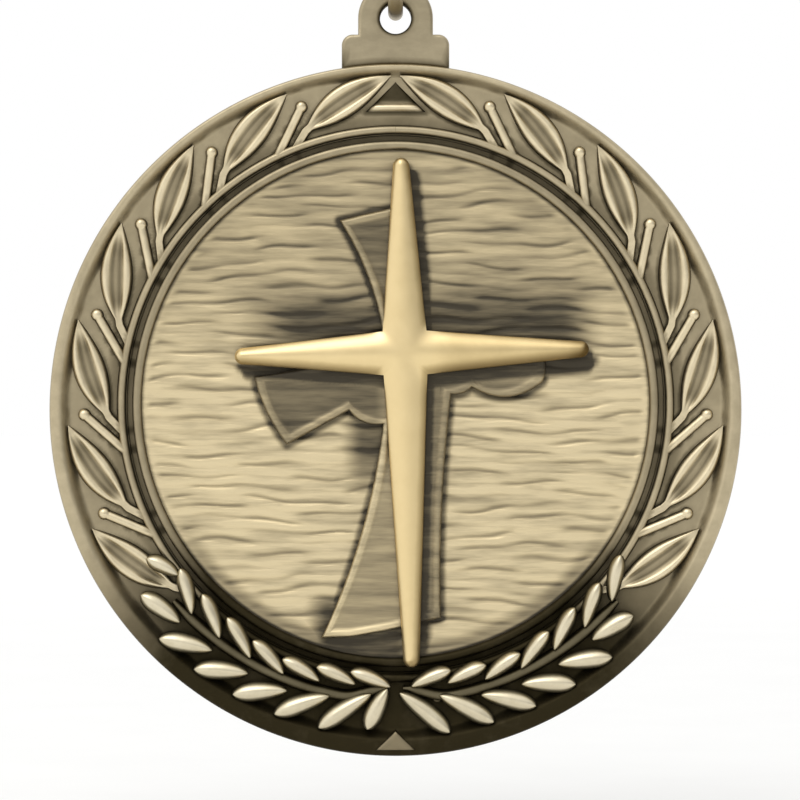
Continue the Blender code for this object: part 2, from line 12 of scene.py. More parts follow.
import bmesh
import bpy
import numpy as np
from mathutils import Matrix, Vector

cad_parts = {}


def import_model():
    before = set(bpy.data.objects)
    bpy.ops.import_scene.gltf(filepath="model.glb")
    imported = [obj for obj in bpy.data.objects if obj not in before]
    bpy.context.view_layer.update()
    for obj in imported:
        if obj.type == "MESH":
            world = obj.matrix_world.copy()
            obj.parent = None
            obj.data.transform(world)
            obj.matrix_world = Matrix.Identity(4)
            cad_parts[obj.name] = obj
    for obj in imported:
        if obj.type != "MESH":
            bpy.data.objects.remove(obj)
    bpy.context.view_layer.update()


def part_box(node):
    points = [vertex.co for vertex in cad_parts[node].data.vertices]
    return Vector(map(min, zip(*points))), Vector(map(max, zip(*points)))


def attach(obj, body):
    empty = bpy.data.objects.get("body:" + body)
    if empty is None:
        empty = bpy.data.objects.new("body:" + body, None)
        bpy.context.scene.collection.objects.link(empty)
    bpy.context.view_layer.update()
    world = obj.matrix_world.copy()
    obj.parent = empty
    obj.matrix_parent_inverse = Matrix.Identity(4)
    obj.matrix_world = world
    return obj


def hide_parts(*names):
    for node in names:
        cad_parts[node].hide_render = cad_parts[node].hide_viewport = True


LOG = logging.getLogger("medal")
MM = 0.001
WELD = 0.0015 * MM      # points closer than this become one
SHARP = radians(42)     # edges sharper than this stay creased
BED = 0.08              # how far a piece is let into what it lies on
FILL_PASSES = 8         # how often the long edges of a filled end are cut

Array = np.ndarray
Colour = tuple[float, float, float, float]
Triple = tuple[float, float, float]
Mask = Callable[[Array, Array, Array], Array]
Floor = Callable[[Array], Array]


class Side(Enum):
    """Half of the face, as the sign of its right."""

    LEFT = -1
    RIGHT = 1


class Body(Enum):
    """Moving body that a piece rides on."""

    RING = "ring"
    MEDAL = "medal"


def ramp(value: Array, low: float, high: float) -> Array:
    """Smooth step of a value from 0 at low to 1 at high: 3s^2 - 2s^3 of the share s between them."""
    share = np.clip((value - low) / (high - low), 0.0, 1.0)
    return share * share * (3 - 2 * share)


def polar(radius: Array | float, angle: Array | float, side: int = 1) -> Array:
    """Right and up of places at a radius and an angle in degrees from the top, on one side."""
    turn = np.radians(angle)
    return np.stack(np.broadcast_arrays(side * radius * np.sin(turn), radius * np.cos(turn)), axis=-1)


def from_top(right: Array, up: Array) -> Array:
    """Angle in degrees from the top, the same on both sides."""
    return np.degrees(np.abs(np.arctan2(right, up)))


def lifted(spots: Array, height: Array | float) -> Array:
    """Places on the face with their height as a third number."""
    return np.concatenate([spots, np.broadcast_to(height, spots.shape[:-1])[..., None]], axis=-1)


def level(height: float) -> Floor:
    """Floor of one height everywhere."""
    return lambda spots: np.full(spots.shape[:-1], height)


def left_of(path: Array) -> Array:
    """Unit vectors to the left of a path on the face: its differences, turned by a quarter.

    Args:
        path: places along the path.

    Returns:
        A unit vector for each place.
    """
    along = np.gradient(path, axis=0)
    along /= np.linalg.norm(along, axis=1, keepdims=True)
    return np.stack([-along[:, 1], along[:, 0]], axis=1)


def bowed(start: Array, end: Array, bow: float, shares: Array) -> Array:
    """Places on a line that swells to its left as a parabola, 4s(1 - s) of the bow at share s.

    Args:
        start: where the line starts.
        end: where it ends.
        bow: swell at its middle.
        shares: how far along each place lies.

    Returns:
        The places.
    """
    along = np.subtract(end, start)
    left = np.array([-along[1], along[0]]) / np.linalg.norm(along)
    return start + along * shares[:, None] + left * (bow * 4 * shares * (1 - shares))[:, None]


def inset(outline: Array, distance: float) -> Array:
    """Closed outline moved to its inner side, with mitred corners.

    Each point moves along the sum of its two edges' normals, stretched so that both edges move alike.

    Args:
        outline: points of the outline, clockwise.
        distance: how far every edge moves.

    Returns:
        The moved points.
    """
    edges = np.roll(outline, -1, axis=0) - outline
    normals = np.stack([edges[:, 1], -edges[:, 0]], axis=1)
    normals /= np.linalg.norm(normals, axis=1, keepdims=True)
    both = normals + np.roll(normals, 1, axis=0)
    return outline + distance * 2 * both / np.maximum(np.sum(both * both, axis=1, keepdims=True), 0.7)


def relief(path: Array, half_widths: Array, shares: Array, rises: Array, floor: Floor) -> Array:
    """Sections of a bar in relief along a path.

    A point lies at path + left * share * half width, at the floor's height there plus its rise.

    Args:
        path: places along the bar.
        half_widths: half the bar's width at each place.
        shares: where each point of the section lies, as shares of the half width.
        rises: height of each point above the floor, for every section.
        floor: height of the floor under places on the face.

    Returns:
        Sections by points by right, up and height.
    """
    aside = shares * half_widths[:, None]
    spots = path[:, None, :] + left_of(path)[:, None, :] * aside[..., None]
    return lifted(spots, floor(spots) + rises)


def bedded(shares: Array, rises: Array) -> tuple[Array, Array]:
    """Section with a foot at each end that goes straight down into the bed."""
    feet = np.full((rises.shape[0], 1), -BED)
    return np.r_[shares[0], shares, shares[-1]], np.hstack([feet, rises, feet])


def gap_to(samples: Array, right: Array, up: Array) -> Array:
    """Distance on the face to the nearest sample: the least of distance - half width.

    Args:
        samples: rows of right, up and half width.
        right: places on the face.
        up: places on the face.

    Returns:
        The distances.
    """
    gap = np.full(right.shape, np.inf)
    for sample_right, sample_up, half_width in samples:
        np.minimum(gap, np.hypot(right - sample_right, up - sample_up) - half_width, out=gap)
    return gap


@dataclass(frozen=True)
class Shell:
    """Surface of quads.

    Attributes:
        points: right, up and height of each point.
        quads: four point numbers for each face.
    """

    points: Array
    quads: Array

    @classmethod
    def grid(cls, points: Array, ring: bool = False) -> "Shell":
        """Surface over rows of points, where each row closes on itself.

        Args:
            points: rows by columns by right, up and height.
            ring: join the last row to the first.

        Returns:
            The surface.
        """
        rows, columns = points.shape[:2]
        index = np.arange(rows * columns).reshape(rows, columns)
        index = np.hstack([index, index[:, :1]])
        if ring:
            index = np.vstack([index, index[:1]])
        corners = [index[:-1, :-1], index[:-1, 1:], index[1:, 1:], index[1:, :-1]]
        return cls(points.reshape(-1, 3), np.stack(corners, axis=-1).reshape(-1, 4))

    @classmethod
    def swept(cls, sections: Array) -> "Shell":
        """Bar over closed sections, with each end drawn together in the middle of its section."""
        middles = np.broadcast_to(sections[[0, -1]].mean(axis=1, keepdims=True), sections[[0, -1]].shape)
        return cls.grid(np.concatenate([middles[:1], sections, middles[1:]]))

    @classmethod
    def turned(cls, radii: Array, heights: Array, steps: int, middle: Array | None = None,
               ring: bool = False) -> "Shell":
        """Surface of revolution: a profile of radii and heights, carried round a middle.

        Args:
            radii: radius of each point of the profile.
            heights: height of each point of the profile.
            steps: points round a turn.
            middle: right and up of the middle, also one for each point, or none for the design's centre.
            ring: join the end of the profile to its start.

        Returns:
            The surface.
        """
        spots = polar(np.asarray(radii)[:, None], np.arange(steps) * 360 / steps)
        if middle is not None:
            spots = spots + np.broadcast_to(middle, (len(radii), 2))[:, None, :]
        return cls.grid(lifted(spots, np.asarray(heights)[:, None]), ring)

    @classmethod
    def joined(cls, shells: Sequence["Shell"]) -> "Shell":
        """Several surfaces as one.

        Args:
            shells: the surfaces.

        Returns:
            One surface with all their points and faces.
        """
        starts = np.cumsum([0] + [len(shell.points) for shell in shells[:-1]])
        quads = [shell.quads + start for shell, start in zip(shells, starts)]
        return cls(np.concatenate([shell.points for shell in shells]), np.concatenate(quads))


@dataclass(frozen=True)
class Face:
    """Zones of the medal's face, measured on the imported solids.

    Attributes:
        centre_z: the design's centre in the model's frame, in metres.
        back_y: the flat back in the model's frame, in metres.
        disc_r: radius of the disc.
        edge_drop: how far the disc's own centre lies below the design's.
        rim_h: height of the rim.
        field_r: radius of the field disc.
        field_under: height of the field disc's underside.
        field_edge_h: height of the field at its edge.
        bezel_r: outer radius of the bezel.
        bezel_top_h: height of the bezel's bead.
        mark_rise: how far the small triangle stands above the rim.
        rim_w: width of the rim beside the design.
        border_w: width of the border's floor.
        border_h: height of the border's floor at its inner edge.
        border_rise: how much the border's floor rises to the rim.
        field_dish: how much the field drops to its middle.
        recess_h: height of the recess's floor.
        bezel_fit: gap between the field and the bezel's wall.
        bezel_lip: how far the bezel laps over from its wall.
    """

    centre_z: float
    back_y: float
    disc_r: float
    edge_drop: float
    rim_h: float
    field_r: float
    field_under: float
    field_edge_h: float
    bezel_r: float
    bezel_top_h: float
    mark_rise: float = 0.15
    rim_w: float = 0.95
    border_w: float = 4.7
    border_h: float = 1.9
    border_rise: float = 0.35
    field_dish: float = 0.2
    recess_h: float = 1.2
    bezel_fit: float = 0.1
    bezel_lip: float = 0.2

    @classmethod
    def measured(cls) -> "Face":
        """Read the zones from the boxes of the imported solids.

        Returns:
            The face.
        """
        body_low, body_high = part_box("medal_body")
        field_low, field_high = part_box("field_disc")
        bezel_low, bezel_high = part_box("bezel_ring")
        centre_z = (field_low.z + field_high.z) / 2
        back_y = body_high.y
        return cls(
            centre_z=centre_z,
            back_y=back_y,
            disc_r=(body_high.x - body_low.x) / 2 / MM,
            edge_drop=(centre_z - (body_low.z + body_high.z) / 2) / MM,
            rim_h=(back_y - body_low.y) / MM - cls.mark_rise,
            field_r=(field_high.x - field_low.x) / 2 / MM,
            field_under=(back_y - field_high.y) / MM,
            field_edge_h=(back_y - field_low.y) / MM,
            bezel_r=(bezel_high.x - bezel_low.x) / 2 / MM,
            bezel_top_h=(back_y - bezel_low.y) / MM,
        )

    @property
    def rim_inner_r(self) -> float:
        """Radius of the rim's inner foot."""
        return self.disc_r - self.rim_w

    @property
    def recess_r(self) -> float:
        """Radius of the recess's wall."""
        return self.rim_inner_r - self.border_w

    @property
    def lip_r(self) -> float:
        """Radius of the bezel's lip."""
        return self.field_r + self.bezel_fit - self.bezel_lip

    def floor_at(self, radius: Array) -> Array:
        """Height of the border's floor, which rises evenly from the recess's wall to the rim."""
        return self.border_h + self.border_rise * np.clip((radius - self.recess_r) / self.border_w, 0.0, 1.0)

    def border_floor(self, spots: Array) -> Array:
        """Height of the border's floor under places on the face."""
        return self.floor_at(np.linalg.norm(spots, axis=-1))

    def field_floor(self, spots: Array) -> Array:
        """Height of the dished field, which rises with the square of the radius."""
        share = np.linalg.norm(spots, axis=-1) / self.field_r
        return self.field_edge_h - self.field_dish * (1 - share ** 2)

    def to_model(self, points: Array) -> Array:
        """Points in the model's frame, in metres, from right, up and height."""
        right, up, height = points.T * MM
        return np.stack([right, self.back_y - height, self.centre_z + up], axis=1)

    def from_model(self, points: Array) -> Array:
        """Right, up and height of points in the model's frame."""
        across, depth, rise = points.T
        return np.stack([across, rise - self.centre_z, self.back_y - depth], axis=1) / MM

    def box(self, node: str) -> tuple[Array, Array]:
        """Lowest and highest right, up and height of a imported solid."""
        corners = self.from_model(np.array(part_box(node), float))
        return corners.min(axis=0), corners.max(axis=0)


def add_node(tree: bpy.types.NodeTree, kind: str, sockets: dict, **settings: object) -> bpy.types.Node:
    """Lay a node in a tree.

    Args:
        tree: tree of a material, a world or a group.
        kind: the node's type.
        sockets: what goes into its inputs, by name or number: an output to link, or a plain value.
        settings: the node's own settings.

    Returns:
        The node.
    """
    made = tree.nodes.new(kind)
    for name, value in settings.items():
        setattr(made, name, value)
    for name, value in sockets.items():
        if isinstance(value, bpy.types.NodeSocket):
            tree.links.new(value, made.inputs[name])
        else:
            made.inputs[name].default_value = value
    return made


def add_math(tree: bpy.types.NodeTree, operation: str, *values: object) -> bpy.types.NodeSocket:
    """Result of a sum on outputs or plain values."""
    return add_node(tree, "ShaderNodeMath", dict(enumerate(values)), operation=operation).outputs[0]


def add_mix(tree: bpy.types.NodeTree, factor: object, first: object, second: object) -> bpy.types.NodeSocket:
    """Colour between two colours, by a factor."""
    return add_node(tree, "ShaderNodeMix", {0: factor, 6: first, 7: second}, data_type="RGBA").outputs[2]


def add_noise(tree: bpy.types.NodeTree, place: object, counts: object, detail: float) -> bpy.types.NodeSocket:
    """Noise with its own count of clouds to a metre along each axis."""
    spread = add_node(tree, "ShaderNodeVectorMath", {0: place, 1: counts}, operation="MULTIPLY").outputs[0]
    sockets = {"Vector": spread, "Scale": 1.0, "Detail": detail, "Roughness": 0.6}
    return add_node(tree, "ShaderNodeTexNoise", sockets).outputs[0]


class EffectGroups:
    """Effects that the finishes share, each a node group that is built once."""

    def __init__(self) -> None:
        """Build every group."""
        self.toning = self._toning()
        self.hairlines = self._hairlines()
        self.tint = self._tint()

    @staticmethod
    def _group(name: str, inputs: dict[str, str], outputs: dict[str, str]) -> tuple:
        """Empty group with its sockets.

        Args:
            name: the group's name.
            inputs: kind of each input, by name.
            outputs: kind of each output, by name.

        Returns:
            The group, its inputs by name and its outputs by name.
        """
        tree = bpy.data.node_groups.new(name, "ShaderNodeTree")
        for in_out, sockets in (("INPUT", inputs), ("OUTPUT", outputs)):
            for label, kind in sockets.items():
                tree.interface.new_socket(label, in_out=in_out, socket_type="NodeSocket" + kind)
        return tree, tree.nodes.new("NodeGroupInput").outputs, tree.nodes.new("NodeGroupOutput").inputs

    def _toning(self) -> bpy.types.NodeTree:
        """Dark tone from the hollow mask, which holds the tone that has run into the hollows and painted
        shade, made uneven by clouds and fine lines.

        The unevenness is less where the hollow mask is dark anyway.

        Returns:
            The group.
        """
        inputs = {"Vector": "Vector", "Hollow": "Float", "Clouds": "Vector", "Unevenness": "Float",
                  "Lines": "Float", "Streaks": "Float"}
        tree, given, out = self._group("toning", inputs, {"Tone": "Float"})
        cloud = add_math(tree, "SUBTRACT", add_noise(tree, given["Vector"], given["Clouds"], 4.0), 0.5)
        uneven = add_math(tree, "MULTIPLY", cloud, given["Unevenness"])
        streak = add_math(tree, "MULTIPLY", add_math(tree, "SUBTRACT", 0.5, given["Lines"]), given["Streaks"])
        share = add_math(tree, "MULTIPLY_ADD", given["Hollow"], -0.6, 1.0)
        change = add_math(tree, "MULTIPLY", add_math(tree, "ADD", uneven, streak), share)
        depth = add_math(tree, "ADD", given["Hollow"], change)
        step = add_node(tree, "ShaderNodeMapRange", {"Value": depth, "From Min": 0.06, "From Max": 1.0})
        tree.links.new(step.outputs[0], out["Tone"])
        return tree

    def _hairlines(self) -> bpy.types.NodeTree:
        """Fine lines: noise that is stretched along the lines, with its contrast raised.

        Returns:
            The group.
        """
        inputs = {"Vector": "Vector", "Counts": "Vector"}
        tree, given, out = self._group("hairlines", inputs, {"Lines": "Float"})
        noise = add_noise(tree, given["Vector"], given["Counts"], 3.0)
        step = add_node(tree, "ShaderNodeMapRange", {"Value": noise, "From Min": 0.28, "From Max": 0.72})
        tree.links.new(step.outputs[0], out["Lines"])
        return tree

    def _tint(self) -> bpy.types.NodeTree:
        """Colour of toned brass: polish on the crests, plain metal below, tone over the hollows and the
        painted shade.

        Returns:
            The group.
        """
        inputs = {"Metal": "Color", "Polish": "Color", "Shade": "Color", "Tone": "Float",
                  "Hollow": "Float", "Lines": "Float"}
        tree, given, out = self._group("tint", inputs, {"Color": "Color", "Dulling": "Float"})
        crest = add_math(tree, "POWER", add_math(tree, "SUBTRACT", 1.0, given["Hollow"]), 3.0)
        worn = add_math(tree, "MULTIPLY_ADD", given["Lines"], 0.4, 0.6)
        rubbed = add_mix(tree, add_math(tree, "MULTIPLY", crest, worn), given["Metal"], given["Polish"])
        tree.links.new(add_mix(tree, given["Tone"], rubbed, given["Shade"]), out["Color"])
        dulled = add_math(tree, "MULTIPLY", given["Lines"], 0.1)
        tree.links.new(add_math(tree, "MULTIPLY_ADD", given["Tone"], 0.2, dulled), out["Dulling"])
        return tree


@dataclass(frozen=True)
class BrassFinish:
    """Brass with a dark tone in its hollows and painted shade, polish on its crests and fine lines.

    Attributes:
        slot: material slot of the record.
        metal: colour of the plain metal.
        polish: colour of the rubbed crests.
        shade: colour of the tone in the hollows and of the painted shade.
        roughness: of the polished metal.
        clouds: clouds of the tone to a metre, along X, Y and Z.
        unevenness: how much the clouds move the tone.
        lines: fine lines to a metre, along X, Y and Z.
        streaks: how much the fine lines move the tone.
        line_depth: depth of the fine lines, in metres.
    """

    slot: str
    metal: Colour
    polish: Colour
    shade: Colour
    roughness: float
    clouds: Triple
    unevenness: float
    lines: Triple
    streaks: float
    line_depth: float

    def material(self, groups: EffectGroups) -> bpy.types.Material:
        """Material of this finish, made once.

        Args:
            groups: the shared effects.

        Returns:
            The material.
        """
        name = self.slot + "_finish"
        if name in bpy.data.materials:
            return bpy.data.materials[name]
        made = bpy.data.materials.new(name)
        made.use_nodes = True
        tree = made.node_tree
        place = add_node(tree, "ShaderNodeTexCoord", {}).outputs["Object"]
        hollow = add_node(tree, "ShaderNodeAttribute", {}, attribute_name="hollow").outputs["Fac"]
        lines = add_node(tree, "ShaderNodeGroup", {"Vector": place, "Counts": self.lines},
                         node_tree=groups.hairlines).outputs["Lines"]
        tone = add_node(tree, "ShaderNodeGroup", {
            "Vector": place, "Hollow": hollow, "Clouds": self.clouds, "Unevenness": self.unevenness,
            "Lines": lines, "Streaks": self.streaks}, node_tree=groups.toning).outputs["Tone"]
        tint = add_node(tree, "ShaderNodeGroup", {
            "Metal": self.metal, "Polish": self.polish, "Shade": self.shade, "Hollow": hollow, "Tone": tone,
            "Lines": lines}, node_tree=groups.tint)
        bump = add_node(tree, "ShaderNodeBump", {"Height": lines, "Distance": self.line_depth})
        shader = tree.nodes["Principled BSDF"]
        shader.inputs["Metallic"].default_value = 1.0
        tree.links.new(tint.outputs["Color"], shader.inputs["Base Color"])
        dull = add_math(tree, "ADD", tint.outputs["Dulling"], self.roughness)
        tree.links.new(dull, shader.inputs["Roughness"])
        tree.links.new(bump.outputs["Normal"], shader.inputs["Normal"])
        return made


# Colour of the tone in the hollows and of the painted shade; each finish's shade colour serves both.
DARK_TONE_AND_SHADE = (0.034, 0.027, 0.013, 1.0)
ANTIQUE = BrassFinish(
    "antique_brass", metal=(0.50, 0.415, 0.262, 1.0), polish=(0.80, 0.69, 0.47, 1.0), shade=DARK_TONE_AND_SHADE,
    roughness=0.30, clouds=(420.0, 420.0, 420.0), unevenness=0.4, lines=(900.0, 900.0, 900.0), streaks=0.1,
    line_depth=0.00001)
GRAINED = BrassFinish(
    "grained_brass", metal=(0.64, 0.525, 0.315, 1.0), polish=(0.80, 0.675, 0.43, 1.0),
    shade=(0.072, 0.062, 0.045, 1.0), roughness=0.33, clouds=(110.0, 420.0, 420.0), unevenness=0.5,
    lines=(170.0, 1700.0, 1700.0), streaks=0.6, line_depth=0.00003)
BRIGHT = BrassFinish(
    "bright_brass", metal=(0.72, 0.55, 0.27, 1.0), polish=(0.83, 0.66, 0.36, 1.0),
    shade=(0.14, 0.09, 0.03, 1.0), roughness=0.29, clouds=(260.0, 260.0, 260.0), unevenness=0.2,
    lines=(500.0, 500.0, 500.0), streaks=0.1, line_depth=0.000004)
PALE = BrassFinish(
    "pale_brass", metal=(0.50, 0.43, 0.27, 1.0), polish=(0.76, 0.68, 0.50, 1.0), shade=DARK_TONE_AND_SHADE,
    roughness=0.27, clouds=(500.0, 500.0, 500.0), unevenness=0.3, lines=(900.0, 900.0, 900.0), streaks=0.1,
    line_depth=0.000006)
LUG = BrassFinish(
    "lug_brass", metal=(0.50, 0.42, 0.27, 1.0), polish=(0.66, 0.57, 0.40, 1.0), shade=DARK_TONE_AND_SHADE,
    roughness=0.30, clouds=(300.0, 300.0, 300.0), unevenness=0.5, lines=(600.0, 1300.0, 1300.0), streaks=0.15,
    line_depth=0.00001)


@dataclass
class Workshop:
    """What every sub-assembly needs: the face's zones and the shared effects."""

    face: Face
    groups: EffectGroups

    def add_piece(self, node: str, shells: Sequence[Shell], finish: BrassFinish, hollow: Mask,
                  body: Body = Body.MEDAL, fill_step: float = np.inf) -> None:
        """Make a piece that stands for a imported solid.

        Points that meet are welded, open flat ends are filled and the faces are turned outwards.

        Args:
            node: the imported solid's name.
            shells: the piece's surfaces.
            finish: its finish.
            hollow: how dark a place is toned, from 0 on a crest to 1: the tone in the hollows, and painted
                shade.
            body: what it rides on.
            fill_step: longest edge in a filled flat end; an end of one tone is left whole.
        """
        whole = Shell.joined(shells)
        name = node + "_fine"
        mesh = bpy.data.meshes.new(name)
        mesh.from_pydata(self.face.to_model(whole.points), [], whole.quads.tolist())
        self._close(mesh, fill_step * MM)
        self._mark_tone_and_shade(mesh, hollow)
        mesh.materials.append(finish.material(self.groups))
        mesh.shade_smooth()
        mesh.set_sharp_from_angle(angle=SHARP)
        piece = bpy.data.objects.new(name, mesh)
        bpy.context.scene.collection.objects.link(piece)
        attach(piece, body.value)
        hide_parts(node)
        LOG.info("%s: %d faces, %s", name, len(mesh.polygons), finish.slot)

    def _close(self, mesh: bpy.types.Mesh, fill_step: float) -> None:
        """Weld a mesh, fill its open flat ends, each at its own depth, and turn its faces outwards.

        Args:
            mesh: the mesh, which is changed.
            fill_step: longest edge in a filled end, in metres.
        """
        shape = bmesh.new()
        shape.from_mesh(mesh)
        bmesh.ops.remove_doubles(shape, verts=shape.verts[:], dist=WELD)
        open_ends = {}
        for edge in shape.edges:
            if edge.is_boundary:
                open_ends.setdefault(round(edge.verts[0].co.y / WELD), []).append(edge)
        for edges in open_ends.values():
            self._fill(shape, edges, fill_step)
        bmesh.ops.recalc_face_normals(shape, faces=shape.faces[:])
        shape.to_mesh(mesh)
        shape.free()

    @staticmethod
    def _fill(shape: bmesh.types.BMesh, ends: list[bmesh.types.BMEdge], fill_step: float) -> None:
        """Fill an open flat end, and cut its long edges so that the tone can change across it.

        Args:
            shape: the mesh, which is changed.
            ends: edges of the opening.
            fill_step: longest edge in the filled end, in metres.
        """
        filled = bmesh.ops.triangle_fill(shape, edges=ends, use_beauty=True)["geom"]
        inner = [item for item in filled if isinstance(item, bmesh.types.BMEdge)]
        for _ in range(FILL_PASSES):
            long_edges = [edge for edge in inner if edge.calc_length() > fill_step]
            if not long_edges:
                break
            cut = bmesh.ops.subdivide_edges(shape, edges=long_edges, cuts=1)["geom"]
            inner = [item for item in cut if isinstance(item, bmesh.types.BMEdge)]
            faces = list({face for edge in inner for face in edge.link_faces})
            inner += bmesh.ops.triangulate(shape, faces=faces)["edges"]

    def _mark_tone_and_shade(self, mesh: bpy.types.Mesh, hollow: Mask) -> None:
        """Write a piece's tone and painted shade to its points.

        Args:
            mesh: the mesh, which gets an attribute.
            hollow: how dark a place is toned, with painted shade.
        """
        flat = np.zeros(len(mesh.vertices) * 3)
        mesh.vertices.foreach_get("co", flat)
        right, up, height = self.face.from_model(flat.reshape(-1, 3)).T
        values = np.clip(hollow(right, up, height), 0.0, 1.0).astype(np.float32)
        mesh.attributes.new("hollow", "FLOAT", "POINT").data.foreach_set("value", values)


@dataclass
class SplitRing:
    """Split wire ring that hangs the medal.

    Attributes:
        shop: zones and effects.
        middle_r: radius of the wire's middle line.
        wire_r: radius of the wire.
        split: opening between the wire's ends.
        end_round: rounding of the wire's ends.
        steps: points along the wire.
        sides: points round the wire.
    """

    shop: Workshop
    middle_r: float = 4.55
    wire_r: float = 0.55
    split: float = 0.3
    end_round: float = 0.1
    steps: int = 144
    sides: int = 24

    def middle(self) -> Array:
        """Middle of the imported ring."""
        return sum(self.shop.face.box("jump_ring")) / 2

    def surface(self) -> Shell:
        """Round section carried round a circle that stands edge-on to the face, split at the back.

        Returns:
            The wire.
        """
        half = self.split / 2 / self.middle_r
        rounding = self.end_round / self.middle_r
        inner = np.linspace(half + rounding, 2 * pi - half - rounding, self.steps)
        turns = np.r_[half, inner, 2 * pi - half][:, None]
        radii = np.full(turns.shape, self.wire_r)
        radii[[0, -1]] -= self.end_round
        around = np.linspace(0, 2 * pi, self.sides, endpoint=False)
        reach = self.middle_r + radii * np.cos(around)
        _, middle_up, middle_h = self.middle()
        spots = [radii * np.sin(around), middle_up + reach * np.sin(turns), middle_h - reach * np.cos(turns)]
        return Shell.swept(np.stack(spots, axis=-1))

    def hollow(self, right: Array, up: Array, height: Array) -> Array:
        """Wire rubbed bright outside and toned inside the ring."""
        _, middle_up, middle_h = self.middle()
        inward = self.middle_r - np.hypot(up - middle_up, height - middle_h)
        return 0.3 + 0.4 * ramp(inward, 0.0, self.wire_r)

    def build(self) -> None:
        """Make and dress the ring."""
        self.shop.add_piece("jump_ring", [self.surface()], LUG, self.hollow, Body.RING)


@dataclass
class SuspensionLug:
    """Flat lug on the disc's edge, with shoulders and a round eye.

    Attributes:
        shop: zones and effects.
        hole_r: radius of the eye's hole.
        eye_wall: metal round the hole.
        hole_rise: from the top of the disc's edge to the hole's centre.
        shoulder_h: from the top of the disc's edge to the shoulders.
        shoulder_r: rounding of the shoulders.
        edge_round: rounding of the lug's edges.
        margins: flat rings inside the rounding, innermost first.
        steps: points along a quarter of the eye.
        foot_steps: points along the foot.
    """

    shop: Workshop
    hole_r: float = 1.15
    eye_wall: float = 1.6
    hole_rise: float = 3.4
    shoulder_h: float = 2.2
    shoulder_r: float = 0.8
    edge_round: float = 0.25
    margins: tuple[float, float] = (0.4, 0.05)
    steps: int = 14
    foot_steps: int = 9

    @property
    def hole_up(self) -> float:
        """Height of the hole's centre on the face."""
        return self.shop.face.disc_r - self.shop.face.edge_drop + self.hole_rise

    def outline(self) -> Array:
        """Outline, clockwise: round eye, shoulder, foot along the disc's edge, far shoulder.

        Returns:
            The points.
        """
        face = self.shop.face
        low, high = face.box("suspension_lug")
        foot_half = (high[0] - low[0]) / 2
        eye_r = self.hole_r + self.eye_wall
        shoulder_up = face.disc_r - face.edge_drop + self.shoulder_h
        eye = polar(eye_r, np.linspace(-90, 90, 4 * self.steps)) + [0.0, self.hole_up]
        centre = np.array([foot_half - self.shoulder_r, shoulder_up - self.shoulder_r])
        shoulder = polar(self.shoulder_r, np.linspace(0, 90, self.steps)) + centre
        shoulder = np.vstack([[eye_r, shoulder_up], shoulder])
        right = np.linspace(foot_half, -foot_half, self.foot_steps)
        foot_up = np.sqrt((face.disc_r - BED) ** 2 - right ** 2) - face.edge_drop
        return np.vstack([eye, shoulder, np.stack([right, foot_up], axis=1), shoulder[::-1] * [-1, 1]])

    def surfaces(self) -> list[Shell]:
        """Outline and hole, each carried from back to front on a profile with quarter-round edges.

        Returns:
            The outer wall and the hole's wall.
        """
        low, high = self.shop.face.box("suspension_lug")
        quarter = np.linspace(0, pi / 2, 6)
        drawn_in = np.r_[self.edge_round + np.array(self.margins), self.edge_round * (1 - np.sin(quarter))]
        risen = np.r_[0.0, 0.0, self.edge_round * (1 - np.cos(quarter))]
        insets = np.r_[drawn_in, drawn_in[::-1]]
        heights = np.r_[low[2] + risen, high[2] - risen[::-1]]
        outline = self.outline()
        wall = np.stack([lifted(inset(outline, depth), height) for depth, height in zip(insets, heights)])
        hole = Shell.turned(self.hole_r + insets, heights, 4 * self.steps, np.array([0.0, self.hole_up]))
        return [Shell.grid(wall), hole]

    def hollow(self, right: Array, up: Array, height: Array) -> Array:
        """Painted shade in the hole and at the foot, where the lug meets the rim.

        Args:
            right: places on the face.
            up: places on the face.
            height: heights above the back; not used.

        Returns:
            The tone, with painted shade.
        """
        face = self.shop.face
        # Painted shade in the hole and at the foot, where the lug meets the rim.
        hole = 1 - ramp(np.hypot(right, up - self.hole_up), self.hole_r - 0.05, self.hole_r + 0.4)
        foot = 1 - ramp(np.hypot(right, up + face.edge_drop) - face.disc_r, 0.0, 0.5)
        return 0.34 + 0.7 * hole + 0.5 * foot

    def build(self) -> None:
        """Make and dress the lug."""
        self.shop.add_piece("suspension_lug", self.surfaces(), LUG, self.hollow, fill_step=0.35)


